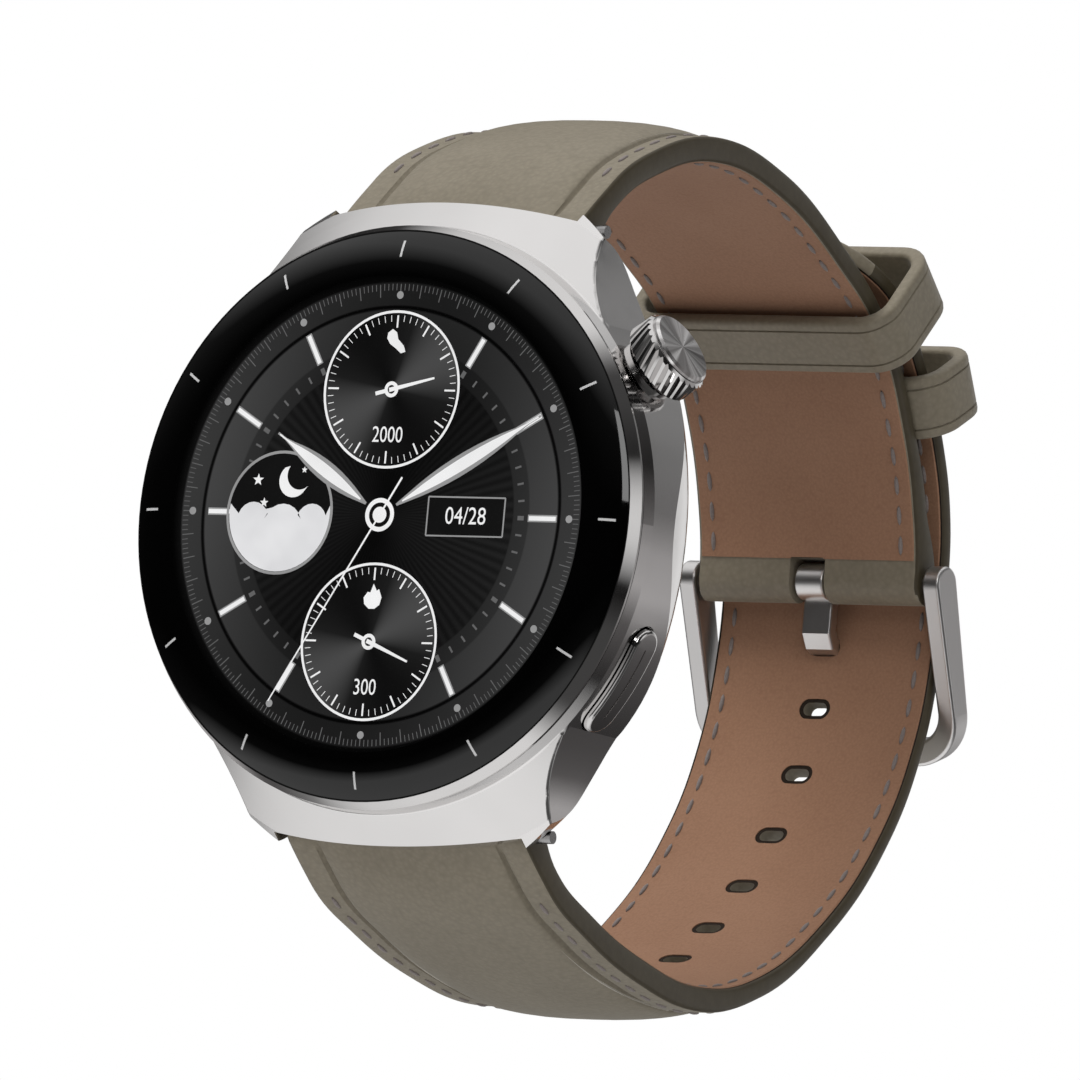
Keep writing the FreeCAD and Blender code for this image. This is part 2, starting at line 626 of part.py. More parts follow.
def make_buckle_frame():
    far = FRAME_THICK_FAR / 2
    side = side_face([(-FRAME_END_R, 0), (-far, -FRAME_LENGTH), (far, -FRAME_LENGTH), (FRAME_END_R, 0)])
    plate = fused([extruded(side, FRAME_HALF), rod_x(FRAME_END_R, -FRAME_HALF, FRAME_HALF)])
    plate = bevelled(plate, FRAME_CORNER, lambda edge: runs_along(edge, ALONG_Y)
                     and edge.CenterOfMass.z < -FRAME_LENGTH + 0.1)
    window = block((-FRAME_INNER_HALF, FRAME_INNER_HALF), (-3, 3), (-FRAME_LENGTH + FAR_BAR, 3))
    window = bevelled(window, FRAME_CORNER - FAR_BAR + 0.4,
                      lambda edge: runs_along(edge, ALONG_Y) and edge.CenterOfMass.z < 0)
    frame = plate.cut(window)
    frame = bevelled(frame, FRAME_EDGE_R, lambda edge: True)
    return frame.cut(rod_x(BUCKLE_BAR_R, -FRAME_INNER_HALF - 1.1, FRAME_INNER_HALF + 1.1))


keep("buckle_frame", in_buckle(make_buckle_frame()))
keep("buckle_bar", in_buckle(rod_x(BUCKLE_BAR_R, -FRAME_INNER_HALF - 1.1, FRAME_INNER_HALF + 1.1)))


def make_tongue():
    """An eye on the bar, a drop along the lining, a step through the strap and a straight tip."""
    eye = rod_x(1.45, -TONGUE_WIDTH / 2, TONGUE_WIDTH / 2, PIVOT_Y, PIVOT_Z)
    outline = [(53.1, 3.7), (54.2, 3.7), (54.2, 0.1), (54.5, -0.4), (57.2, -1.45), (57.8, -2.2),
               (60.15, -9.4), (60.1, -10.0), (59.3, -10.1), (56.75, -2.7), (53.9, -1.45), (53.15, -0.3)]
    arm = extruded(side_face(outline), TONGUE_WIDTH / 2)
    tongue = fused([eye, arm])
    tongue = bevelled(tongue, TONGUE_EDGE_R, lambda edge: not runs_along(edge, ALONG_X))
    return tongue.cut(rod_x(BUCKLE_BAR_R + FIT, -3, 3, PIVOT_Y, PIVOT_Z))


keep("buckle_tongue", make_tongue())
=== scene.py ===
import math

import bmesh
import bpy
from mathutils import Matrix, Quaternion, Vector


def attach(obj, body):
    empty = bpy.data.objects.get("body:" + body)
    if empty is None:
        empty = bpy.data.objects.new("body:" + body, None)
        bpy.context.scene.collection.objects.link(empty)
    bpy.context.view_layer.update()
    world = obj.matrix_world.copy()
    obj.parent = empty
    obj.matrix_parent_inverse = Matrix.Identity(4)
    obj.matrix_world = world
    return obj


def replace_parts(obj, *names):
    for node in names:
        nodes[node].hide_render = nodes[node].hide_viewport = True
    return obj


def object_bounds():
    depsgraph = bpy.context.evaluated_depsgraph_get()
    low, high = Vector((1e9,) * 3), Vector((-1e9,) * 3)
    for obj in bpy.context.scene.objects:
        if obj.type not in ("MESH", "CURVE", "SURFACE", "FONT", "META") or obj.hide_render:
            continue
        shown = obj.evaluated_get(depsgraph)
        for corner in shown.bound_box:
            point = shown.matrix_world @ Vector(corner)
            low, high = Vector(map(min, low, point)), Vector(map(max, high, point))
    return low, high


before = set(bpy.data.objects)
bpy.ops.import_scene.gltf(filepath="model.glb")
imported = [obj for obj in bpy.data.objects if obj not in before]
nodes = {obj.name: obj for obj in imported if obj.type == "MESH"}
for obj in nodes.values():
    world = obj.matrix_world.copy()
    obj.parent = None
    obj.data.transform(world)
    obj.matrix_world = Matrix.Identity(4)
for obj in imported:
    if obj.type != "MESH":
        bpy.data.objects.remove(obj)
cadLow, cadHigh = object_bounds()
mm = 0.001                      # lengths below are in millimetres; materials work in metres
print("frame loaded:", len(nodes), "nodes")


def linearColour(hexText):
    channels = [int(hexText[i:i + 2], 16) / 255 for i in (1, 3, 5)]
    return [c / 12.92 if c <= 0.04045 else ((c + 0.055) / 1.055) ** 2.4 for c in channels] + [1.0]


def feed(tree, node, links):
    # a source is a socket, or a node that gives its first output
    for key, source in links.items():
        socket = source.outputs[0] if isinstance(source, bpy.types.Node) else source
        tree.links.new(socket, node.inputs[key])


def addNode(tree, kind, settings=None, links=None):
    # lower-case settings are the node's own, "stops" are a ramp's colours, and the rest are sockets
    node = tree.nodes.new("ShaderNode" + kind)
    sockets = dict(settings or {})
    for index, (place, hexText) in enumerate(sockets.pop("stops", [])):
        elements = node.color_ramp.elements
        stop = elements[index] if index < len(elements) else elements.new(place)
        stop.position, stop.color = place, linearColour(hexText)
    modes = [key for key in sockets if str(key)[0].islower()]
    for key in modes:           # modes first, because they change which sockets there are
        setattr(node, key, sockets.pop(key))
    for key, value in sockets.items():
        node.inputs[key].default_value = value
    feed(tree, node, links or {})
    return node


def startMaterial(name, settings):
    material = bpy.data.materials.new(name)
    material.use_nodes = True
    tree = material.node_tree
    tree.nodes.clear()
    shader = addNode(tree, "BsdfPrincipled", settings)
    addNode(tree, "OutputMaterial", links={"Surface": shader})
    place = addNode(tree, "TexCoord").outputs["Object"]
    return material, tree, shader, place


def perMetre(sizeMm):           # noise scale whose features are about this many millimetres
    return 1000.0 / sizeMm


def newPiece(name, mesh, material, body, smoothAngle=38):
    bmesh.ops.recalc_face_normals(mesh, faces=mesh.faces)
    bmesh.ops.scale(mesh, vec=(mm, mm, mm), verts=mesh.verts)
    data = bpy.data.meshes.new(name)
    mesh.to_mesh(data)
    mesh.free()
    data.materials.append(material)
    data.shade_smooth()
    data.set_sharp_from_angle(angle=math.radians(smoothAngle))
    piece = bpy.data.objects.new(name, data)
    bpy.context.scene.collection.objects.link(piece)
    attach(piece, body)
    return piece


def carve(piece, cutter):
    # takes the cutter's shape out of the piece, and removes the cutter
    change = piece.modifiers.new("cut", "BOOLEAN")
    change.operation = "DIFFERENCE"
    change.solver = "EXACT"
    change.object = cutter
    graph = bpy.context.evaluated_depsgraph_get()
    cut = bpy.data.meshes.new_from_object(piece.evaluated_get(graph))
    piece.modifiers.clear()
    piece.data = cut
    bpy.data.objects.remove(cutter)


def loft(sections, joined=False):
    # skins a row of closed sections that have the same number of points
    mesh = bmesh.new()
    ring = bmesh.ops.create_circle(mesh, segments=len(sections[0]), radius=1)["verts"]
    for vert, spot in zip(ring, sections[0]):
        vert.co = spot
    edges = list(mesh.edges)
    if not joined:
        bmesh.ops.contextual_create(mesh, geom=edges)
    for section in sections[1:]:
        made = bmesh.ops.extrude_edge_only(mesh, edges=edges)["geom"]
        place = {vert: index for index, vert in enumerate(ring)}
        fresh = [item for item in made if isinstance(item, bmesh.types.BMVert)]
        ring = [None] * len(section)
        for vert in fresh:
            old = next(e.other_vert(vert) for e in vert.link_edges if e.other_vert(vert) in place)
            ring[place[old]] = vert
        for vert, spot in zip(ring, section):
            vert.co = spot
        inside = set(fresh)
        edges = [item for item in made if isinstance(item,
                bmesh.types.BMEdge) and all(vert in inside for vert in item.verts)]
    if joined:
        bmesh.ops.remove_doubles(mesh, verts=mesh.verts, dist=0.001)
    else:
        bmesh.ops.contextual_create(mesh, geom=edges)
    return mesh


def makeRoute(points):
    curve = bpy.data.curves.new("route", "CURVE")
    curve.dimensions = "3D"
    curve.resolution_u = 32
    spline = curve.splines.new("BEZIER")
    spline.bezier_points.add(len(points) - 1)
    for knot, (y, z) in zip(spline.bezier_points, points):
        knot.co = (0, y, z)
        knot.handle_left_type = knot.handle_right_type = "AUTO"
    holder = bpy.data.objects.new("route", curve)
    line = bpy.data.meshes.new_from_object(holder)
    spots = [vert.co.copy() for vert in line.vertices]
    bpy.data.objects.remove(holder)
    bpy.data.meshes.remove(line)
    along = [0.0]
    for before, after in zip(spots, spots[1:]):
        along.append(along[-1] + (after - before).length)
    knots = [min(range(len(spots)), key=lambda i: (spots[i] - Vector((0, *p))).length) for p in points]
    return {"spots": spots, "along": along, "length": along[-1], "knots": [along[i] for i in knots]}


def spotOn(route, distance):
    # the point that far along the route, and the direction there
    along = route["along"]
    distance = min(max(distance, 0.0), route["length"])
    index = max(1, next(i for i, total in enumerate(along) if total >= distance - 1e-9))
    before, after = route["spots"][index - 1], route["spots"][index]
    share = (distance - along[index - 1]) / max(along[index] - along[index - 1], 1e-9)
    return before.lerp(after, share), (after - before).normalized()


def valueOn(route, distance, values):
    # a value given at the route's own points, eased between them
    knots = route["knots"]
    if distance <= knots[0]:
        return values[0]
    for index in range(len(knots) - 1):
        if distance <= knots[index + 1]:
            share = (distance - knots[index]) / (knots[index + 1] - knots[index])
            share = share * share * (3 - 2 * share)
            return values[index] + (values[index + 1] - values[index]) * share
    return values[-1]


def metalMaterial(name, colour, roughness, grainMm, bump, stretch=(1, 1, 1), spread=0.25):
    # a metal finish: its roughness wanders, and fine marks run along the longer stretch axis
    material, tree, shader, place = startMaterial(name, {"Metallic": 1.0, "Roughness": roughness})
    turned = addNode(tree, "Mapping", {"Scale": stretch}, {"Vector": place})
    grain = addNode(tree, "TexNoise", {"Scale": perMetre(grainMm), "Detail": 4.0}, {"Vector": turned})
    cloud = addNode(tree, "TexNoise", {"Scale": perMetre(9.0), "Detail": 2.0}, {"Vector": place})
    deeper = [min(1.0, c * 0.86) for c in linearColour(colour)[:3]] + [1.0]
    tone = addNode(tree, "Mix", {"data_type": "RGBA", 6: deeper, 7: linearColour(colour)}, {0: cloud})
    rough = addNode(tree, "MapRange", {"To Min": roughness * (1 - spread),
            "To Max": roughness * (1 + spread)}, {"Value": grain})
    lift = addNode(tree, "Bump", {"Strength": bump, "Distance": 0.00002}, {"Height": grain})
    feed(tree, shader, {"Base Color": tone.outputs[2], "Roughness": rough, "Normal": lift})
    return material


# 316L stainless steel, mirror polished: near-white, with faint waves from the buffing wheel
polishedSteel = metalMaterial("polished_stainless_steel", "#d8d6d5", 0.09, 1.2, 0.02)
# turned steel of small fittings: greyer, with turning marks along X
turnedSteel = metalMaterial("turned_steel", "#a9a8a8", 0.28, 0.25, 0.15, (6, 1, 1))
# cast and polished buckle steel: bright, slightly softer than the case
buckleSteel = metalMaterial("polished_buckle_steel", "#e4e2e1", 0.36, 0.09, 0.02, (1, 1, 3), 0.1)


def caseSteelMaterial():
    # one forging with two finishes: the sloped front is satin, and the upright sides are polished
    material = metalMaterial("forged_case_steel", "#e9e7e6", 0.1, 0.14, 0.06)
    tree = material.node_tree
    roughness = next(node for node in tree.nodes if "Metallic" in node.inputs).inputs["Roughness"]
    polish = roughness.links[0].from_socket
    coords = addNode(tree, "TexCoord")
    facing = addNode(tree, "SeparateXYZ", links={0: coords.outputs["Normal"]})
    onSlope = addNode(tree, "MapRange", {"From Min": -0.52, "From Max": -0.62, "To Min": 0.0,
            "To Max": 0.22}, {"Value": facing.outputs["Y"]})
    both = addNode(tree, "Math", {"operation": "ADD"}, {0: polish, 1: onSlope})
    tree.links.new(both.outputs[0], roughness)
    return material


caseSteel = caseSteelMaterial()
crown = {"angle": math.radians(33.0), "height": -5.2, "paintedRays": 2.6}       # its axis, its Y, and the scale of the painted highlight rays


def sunrayMaterial():
    # crown cap: lathe-faced steel whose circular cut marks stretch the highlights round the axis, with
    # bright and dark rays painted into its colour as painted highlights and painted shade
    material = metalMaterial("lathe_faced_steel_painted_rays", "#cfcccb", 0.3, 0.2, 0.0)
    tree = material.node_tree
    shader = next(node for node in tree.nodes if "Metallic" in node.inputs)
    shader.inputs["Anisotropic"].default_value = 0.8
    coords = addNode(tree, "TexCoord")
    fromAxis = addNode(tree, "VectorMath", {"operation": "SUBTRACT", 1: (0, crown["height"] * mm, 0)},
            {0: coords.outputs["Object"]})
    axis = (math.cos(crown["angle"]), 0, math.sin(crown["angle"]))
    circling = addNode(tree, "VectorMath", {"operation": "CROSS_PRODUCT", 0: axis}, {1: fromAxis})
    tangent = addNode(tree, "VectorMath", {"operation": "NORMALIZE"}, {0: circling})
    # painted highlights and shade: noise round the axis gives near-white and dark grey rays in the base
    # colour
    paintedRays = addNode(tree, "TexNoise", {"Scale": crown["paintedRays"], "Detail": 2.0}, {"Vector": tangent})
    tone = addNode(tree, "ValToRGB", {"stops": [(0.38, "#8c8887"), (0.5, "#cfcccb"), (0.6, "#f6f4f3")]},
            {"Fac": paintedRays})
    feed(tree, shader, {"Base Color": tone, "Tangent": tangent})
    return material


crownCapSteel = sunrayMaterial()


def leatherMaterial(name, pale, deep, grainMm, bump, roughness, sheen, creaseMm=3.2):
    # calf leather: pebbled grain of rounded cells with fine pores, and a slow change of tone
    material, tree, shader, place = startMaterial(name, {"Roughness": roughness, "Sheen Weight": sheen,
            "Sheen Roughness": 0.5, "Specular IOR Level": 0.35})
    drift = addNode(tree, "TexNoise", {"Scale": perMetre(1.4), "Detail": 2.0}, {"Vector": place})
    bent = addNode(tree, "Mix", {"data_type": "VECTOR", 0: 0.0006}, {4: place, 5: drift.outputs["Color"]})
    cells = addNode(tree, "TexVoronoi", {"Scale": perMetre(grainMm), "feature": "SMOOTH_F1",
            "Smoothness": 0.6}, {"Vector": bent.outputs[1]})
    pores = addNode(tree, "TexNoise", {"Scale": perMetre(grainMm * 0.35), "Detail": 3.0},
            {"Vector": place})
    crease = addNode(tree, "TexNoise", {"Scale": perMetre(creaseMm), "Detail": 5.0, "Roughness": 0.6},
            {"Vector": place})
    cloud = addNode(tree, "TexNoise", {"Scale": perMetre(8.0), "Detail": 3.0}, {"Vector": place})
    height = addNode(tree, "Math", {"operation": "MULTIPLY_ADD", 1: 0.7}, {0: pores, 2: cells})
    mixed = addNode(tree, "Math", {"operation": "MULTIPLY_ADD", 1: 1.2}, {0: crease, 2: height})
    lift = addNode(tree, "Bump", {"Strength": bump, "Distance": 0.00006}, {"Height": mixed})
    shade = addNode(tree, "Math", {"operation": "MULTIPLY_ADD", 1: 0.45, 2: 0.06}, {0: cloud})
    shaded = addNode(tree, "Math", {"operation": "MULTIPLY_ADD", 1: 0.45}, {0: cells, 2: shade})
    tone = addNode(tree, "Mix", {"data_type": "RGBA", 6: linearColour(pale), 7: linearColour(deep)},
            {0: shaded})
    rough = addNode(tree, "MapRange", {"To Min": roughness - 0.07, "To Max": roughness + 0.08},
            {"Value": cloud})
    feed(tree, shader, {"Base Color": tone.outputs[2], "Roughness": rough, "Normal": lift})
    return material


# aniline-dyed calf leather with a pebbled grain: olive taupe with a low sheen
outerLeather = leatherMaterial("olive_calf_leather", "#877f6e", "#675f50", 0.42, 0.35, 0.52, 0.1)
# resin edge paint over cut leather: darker, smoother, with a slight gloss
edgePaint = leatherMaterial("painted_leather_edge", "#4a4334", "#3a3326", 0.7, 0.12, 0.42, 0.0)
# painted shade for the punched holes: a near-black brown on the lower skin's wrist side, seen only through
# the lining's holes
holeShadeLeather = leatherMaterial("painted_hole_shade_leather", "#2a2018", "#1a130d", 0.3, 0.3, 0.8, 0.0)
# nubuck lining, sanded on the grain side: warm brown, fine nap with no cells to see
liningLeather = leatherMaterial("nubuck_lining_leather", "#9f7a61", "#825f49", 0.22, 0.22, 0.72, 0.04, 2.0)
# waxed polyester thread, twisted: grey mauve
threadMaterial = leatherMaterial("waxed_polyester_thread", "#8d8480", "#6a6260", 0.18, 0.4, 0.6, 0.1)


def plasticMaterial(name, colour, roughness, grainMm, bump, coat=0.0, gloss=0.5):
    # moulded or printed surfaces: even colour with fine mould texture
    material, tree, shader, place = startMaterial(name, {"Roughness": roughness, "Coat Weight": coat,
            "Specular IOR Level": gloss})
    grain = addNode(tree, "TexNoise", {"Scale": perMetre(grainMm), "Detail": 3.0}, {"Vector": place})
    base = linearColour(colour)
    deeper = [c * 0.75 for c in base[:3]] + [1.0]
    tone = addNode(tree, "Mix", {"data_type": "RGBA", 6: deeper, 7: base}, {0: grain})
    rough = addNode(tree, "MapRange", {"To Min": roughness * 0.85, "To Max": roughness * 1.15},
            {"Value": grain})
    lift = addNode(tree, "Bump", {"Strength": bump, "Distance": 0.00002}, {"Height": grain})
    feed(tree, shader, {"Base Color": tone.outputs[2], "Roughness": rough, "Normal": lift})
    return material


# silicone rubber seal: matte black
siliconeRubber = plasticMaterial("black_silicone_rubber", "#1d1d1e", 0.75, 0.2, 0.2)
# glass-filled nylon of the inner frame: dull black with a fine texture
nylonPlastic = plasticMaterial("glass_filled_nylon", "#262627", 0.55, 0.3, 0.3)
# zirconia ceramic of the back cover: deep grey, hard and glossy
zirconiaCeramic = plasticMaterial("zirconia_ceramic", "#2b2b2e", 0.22, 0.8, 0.02, 0.4)
# tinted polycarbonate over the sensors: almost black, very glossy
tintedWindow = plasticMaterial("tinted_polycarbonate", "#101113", 0.07, 1.5, 0.01, 0.6)
# epoxy solder mask on the boards: dark green
solderMask = plasticMaterial("green_solder_mask", "#1f4d33", 0.4, 0.25, 0.2)
# moulded epoxy chip packages: matte charcoal
chipEpoxy = plasticMaterial("moulded_chip_epoxy", "#242426", 0.6, 0.15, 0.3)
# laminated foil pouch of the battery: silver with soft creases
foilPouch = metalMaterial("battery_foil_pouch", "#b4b5b6", 0.38, 1.0, 0.3)
# enamelled copper wire, wound in rings
copperWire = metalMaterial("enamelled_copper_wire", "#b9744c", 0.3, 0.12, 0.4)
# polyurethane foam inside the strap: pale, open cells
foamMaterial = plasticMaterial("polyurethane_foam", "#b8b3a8", 0.9, 0.5, 0.6)
# black enamel printed on the back of the glass: deep black, even
printedBlack = plasticMaterial("printed_black_enamel", "#020202", 0.6, 6.0, 0.0, gloss=0.0)

carried = {"top_case": caseSteel, "bezel_ring": polishedSteel, "front_gasket": siliconeRubber,
        "inner_frame": nylonPlastic, "battery": foilPouch, "main_board": solderMask,
        "processor": chipEpoxy, "memory_chips": chipEpoxy, "vibration_motor": turnedSteel,
        "speaker": nylonPlastic, "microphone": turnedSteel, "sensor_board": solderMask,
        "optical_sensors": tintedWindow, "charging_coil": copperWire, "back_cover": zirconiaCeramic,
        "back_screws": turnedSteel, "sensor_window": tintedWindow, "crown_tube": polishedSteel,
        "crown_head": polishedSteel, "crown_cap": crownCapSteel, "crown_stem": turnedSteel,
        "crown_carrier": nylonPlastic, "crown_switch": nylonPlastic, "side_key": polishedSteel,
        "key_plunger": turnedSteel, "key_switch": nylonPlastic, "spring_bar_12": turnedSteel,
        "spring_bar_6": turnedSteel, "release_pin_12": turnedSteel, "release_pin_6": turnedSteel,
        "strap_12_padding": foamMaterial, "strap_6_padding": foamMaterial, "buckle_frame": buckleSteel,
        "buckle_bar": turnedSteel, "buckle_tongue": buckleSteel}
for nodeName, material in carried.items():
    data = nodes[nodeName].data
    for slotIndex in range(len(data.materials)):
        data.materials[slotIndex] = material
print("materials on the carried parts:", len(carried))


strap = {
    "rootHalf": 10.9, "half": 10.0, "taperStart": 2.0, "taperEnd": 38.0,   # half widths, by depth Y
    "margin": 2.9, "groove": 0.55, "grooveDepth": 0.3,                     # flat stitched edge strip
    "edgeRound": 0.38, "station": 0.7,
    "liningInset": 0.28, "liningThick": 0.35,
    "stitchInset": 1.45, "stitchPitch": 2.3, "stitchLength": 1.6, "stitchRadius": 0.17,
}
upper = {"name": "strap_12", "side": 1, "path": [(-1.25, 22.35), (1.3, 25.7), (7.3, 29.2), (16.0, 31.4),
        (26.0, 30.2), (35.7, 26.3), (42.7, 21.9), (47.4, 15.4), (50.2, 8.8), (51.1, 4.6), (51.1, 3.7)],
        "edge": [2.9, 2.05, 2.05, 2.0, 1.95, 1.7, 1.45, 1.55, 1.9, 2.9, 3.4],
        "crown": [0.1, 0.75, 1.0, 1.05, 0.9, 0.5, 0.1, 0.0, 0.0, 0.0, 0.0], }
lower = {"name": "strap_6", "side": -1, "path": [(-1.25, -22.35), (1.3, -25.4), (7.3, -28.2),
        (15.5, -30.5), (24.5, -31.5), (33.5, -29.6), (42.5, -24.1), (49.6, -16.4), (53.3, -9.0),
        (54.7, -2.4), (54.9, 3.7), (54.4, 9.0), (52.5, 14.2), (49.4, 19.1), (45.3, 23.8), (41.5, 26.6),
        (36.8, 29.0)], "edge": [2.9, 2.05, 2.05, 2.05, 1.95, 1.6] + [1.3] * 11,
        "crown": [0.1, 0.75, 1.0, 1.0, 0.8, 0.35] + [0.0] * 11, }


def halfWidth(depth):
    share = min(max((depth - strap["taperStart"]) / (strap["taperEnd"] - strap["taperStart"]), 0), 1)
    return strap["rootHalf"] + (strap["half"] - strap["rootHalf"]) * share


def leatherSection(half, thick, crown, grooved):
    # a closed outline of (x, height): flat under, rounded edges, and a crowned pad between two channels
    r = min(strap["edgeRound"], thick * 0.45)
    padHalf = half - strap["margin"]
    corner = [(half - r + r * math.sin(a), r - r * math.cos(a)) for a in (0, 0.52, 1.05, math.pi / 2)]
    top = [(half - r + r * math.cos(a), thick - r + r * math.sin(a)) for a in (0, 0.52, 1.05, math.pi / 2)]
    depth = strap["grooveDepth"] * grooved
    flat = [(half - 1.2, thick), (padHalf + 1.0 * strap["groove"], thick - 0.02 * depth),
            (padHalf + 0.62 * strap["groove"], thick - 0.8 * depth), (padHalf + 0.4 * strap["groove"],
            thick - depth), (padHalf + 0.15 * strap["groove"], thick - 0.7 * depth)]
    pad = []
    for share in (1.0, 0.985, 0.95, 0.9, 0.82, 0.7, 0.52, 0.27, 0.0):
        rise = (1 - share ** 2.6) ** 0.62
        pad.append((padHalf * share, thick + crown * rise + 0.04 * depth))
    right = [(half * 0.5, 0.0)] + corner + top + flat + pad
    left = [(-x, h) for x, h in reversed(right[:-1])]
    return right + left


def sectionAt(outline, spot, normal):
    return [Vector((x, spot.y + normal.y * h, spot.z + normal.z * h)) for x, h in outline]


def outwards(direction, side):
    return Vector((0, -side * direction.z, side * direction.y))


def roundedEnd(spot, along, normal, thick, half, shares, crown=0.0):
    # stations that close a strap end with a half round as thick as the strap
    sections = []
    middle = thick / 2
    for share in shares:
        angle = share * math.pi / 2
        reach = middle * math.sin(angle)
        squeeze = max(math.cos(angle), 0.08)
        outline = leatherSection(half, thick, crown, 0.0)
        outline = [(x, middle + (h - middle) * squeeze) for x, h in outline]
        sections.append(sectionAt(outline, spot + along * reach, normal))
    return sections


def tipHalf(half, remaining):
    # the tail's tip is a half round as wide as the strap
    if remaining >= half:
        return half
    return math.sqrt(max(half * half - (half - remaining) ** 2, 0.02))


def makeLeather(part, tail):
    route = makeRoute(part["path"])
    part["route"] = route
    sections = []
    endShares = (1.0, 0.93, 0.8, 0.6, 0.4, 0.2)
    start, direction = spotOn(route, 0)
    normal = outwards(direction, part["side"])
    sections += roundedEnd(start, -direction, normal, part["edge"][0], strap["rootHalf"], endShares)
    count = int(route["length"] / strap["station"])
    distances = [route["length"] * i / count for i in range(count + 1)]
    if tail:                    # closer stations where the round tip narrows
        distances = [d for d in distances if d < route["length"] - strap["half"]]
        distances += [route["length"] - strap["half"] * (1 - math.sin(i / 18 * math.pi
                / 2)) for i in range(19)]
    for distance in distances:
        spot, direction = spotOn(route, distance)
        normal = outwards(direction, part["side"])
        thick = valueOn(route, distance, part["edge"])
        crown = valueOn(route, distance, part["crown"])
        half = halfWidth(spot.y)
        grooved = min(1.0, max(0.0, crown / 0.25))
        outline = leatherSection(half, thick, crown, grooved)
        if tail:
            squeeze = tipHalf(half, route["length"] - distance) / half
            outline = [(x * squeeze, h) for x, h in outline]
        sections.append(sectionAt(outline, spot, normal))
    if not tail:
        spot, direction = spotOn(route, route["length"])
        direction = Vector((0, 0, -1))
        sections += roundedEnd(spot, direction, outwards(direction, part["side"]), part["edge"][-1],
                strap["half"], tuple(reversed(endShares)))
    return newPiece(part["name"] + "_leather_skin", loft(sections), outerLeather, "case")


def paintEdges(piece, half):
    # the cut edges, which face sideways, take the edge paint; the lower skin's wrist side takes a painted
    # shade for the holes
    piece.data.materials.append(edgePaint)
    piece.data.materials.append(holeShadeLeather)
    wristCentre = Vector((0, 0.026, -0.001))
    for face in piece.data.polygons:
        inwards = (wristCentre - face.center).normalized()
        if abs(face.normal.x) > 0.55 and abs(face.center.x) / mm > half - 1.0:
            face.material_index = 1
        elif piece.name.startswith("strap_6") and face.normal.dot(inwards) > 0.5:
            face.material_index = 2         # painted shade: under the lining, and seen only through its holes


def makeLining(part, first, last, tail):
    route = part["route"]
    sections = []
    count = int((last - first) / 0.9)
    distances = [first + (last - first) * i / count for i in range(count + 1)]
    if tail:
        distances = [d for d in distances if d < last - strap["half"]]
        distances += [last - strap["half"] * (1 - math.sin(i / 14 * math.pi / 2)) for i in range(15)]
    for distance in distances:
        spot, direction = spotOn(route, distance)
        normal = outwards(direction, part["side"])
        half = halfWidth(spot.y) - strap["liningInset"]
        if tail:
            half = tipHalf(half, last - distance)
        r = min(0.12, half * 0.5)
        low, high = -0.07, strap["liningThick"]
        outline = [(half - r, low), (half, low + r), (half, high), (half * 0.4, high)]
        outline += [(-x, h) for x, h in reversed(outline)] + [(-half * 0.4, low), (half * 0.4, low)]
        sections.append(sectionAt(outline, spot, normal))
    return newPiece(part["name"] + "_lining_sheet", loft(sections), liningLeather, "case")


def holeCutter(spot, direction, width, height):
    # an oval punch square to the strap
    mesh = bmesh.new()
    bmesh.ops.create_circle(mesh, cap_ends=True, segments=24, radius=height / 2)
    for vert in mesh.verts:
        vert.co.x += math.copysign((width - height) / 2, vert.co.x) if abs(vert.co.x) > 1e-6 else 0
    bmesh.ops.translate(mesh, verts=mesh.verts, vec=(0, 0, -3.5))
    walls = bmesh.ops.extrude_face_region(mesh, geom=list(mesh.faces))["geom"]
    bmesh.ops.translate(mesh, verts=[v for v in walls if isinstance(v, bmesh.types.BMVert)], vec=(0, 0, 7))
    normal = outwards(direction, -1)
    across = Vector((1, 0, 0))
    turn = Matrix((across, normal.cross(across), normal)).transposed().to_4x4()
    bmesh.ops.transform(mesh, matrix=Matrix.Translation(spot) @ turn, verts=mesh.verts)
    return newPiece("punch", mesh, edgePaint, "case")


def boxCutter(low, high):
    mesh = bmesh.new()
    size = [b - a for a, b in zip(low, high)]
    middle = [(a + b) / 2 for a, b in zip(low, high)]
    bmesh.ops.create_cube(mesh, size=1, matrix=Matrix.Translation(middle) @ Matrix.Diagonal((*size, 1)))
    bmesh.ops.bevel(mesh, geom=list(mesh.edges), offset=0.25, segments=3, profile=0.5, affect="EDGES",
            material=-1)
    return newPiece("notch_cutter", mesh, edgePaint, "case")


def stitchRow(name, part, first, last, height, sideSign, body="case"):
    # one row of thread: each stitch is a short ellipsoid sunk halfway into the leather
    mesh = bmesh.new()
    route = part["route"]
    count = int((last - first) / strap["stitchPitch"])
    for index in range(count):
        distance = first + (index + 0.5) * (last - first) / count
        spot, direction = spotOn(route, distance)
        normal = outwards(direction, part["side"])
        x = sideSign * (halfWidth(spot.y) - strap["stitchInset"])
        level = height if height < 0 else valueOn(route, distance, part["edge"])
        place = spot + normal * level + Vector((x, 0, 0))
        turn = Matrix((Vector((1, 0, 0)), direction, normal)).transposed().to_4x4()
        size = Matrix.Diagonal((strap["stitchRadius"] * 1.15, strap["stitchLength"] / 2,
                strap["stitchRadius"], 1))
        bmesh.ops.create_uvsphere(mesh, u_segments=8, v_segments=5, radius=1,
                matrix=Matrix.Translation(place) @ turn @ size)
    return newPiece(name, mesh, threadMaterial, body, 80)


upperSkin = makeLeather(upper, tail=False)
lowerSkin = makeLeather(lower, tail=True)
upperLining = makeLining(upper, 3.6, upper["route"]["length"] - 1.6, tail=False)
lowerLining = makeLining(lower, 3.6, lower["route"]["length"] - 0.25, tail=True)

holes = {"heights": (-6.1, -11.5, -16.6, -21.1, -25.1, -28.1), "farSide": 30,
         "skin": (2.1, 1.1), "lining": (2.8, 1.7)}                          # width, and how tall
engaged = {"skin": (-1.55, 2.1), "lining": (-1.2, 1.5), "width": 2.75}      # height, and how tall
notch = ((-1.6, 49.5, 0.0), (1.6, 57.0, 5.4))       # opposite corners of the tongue's gap


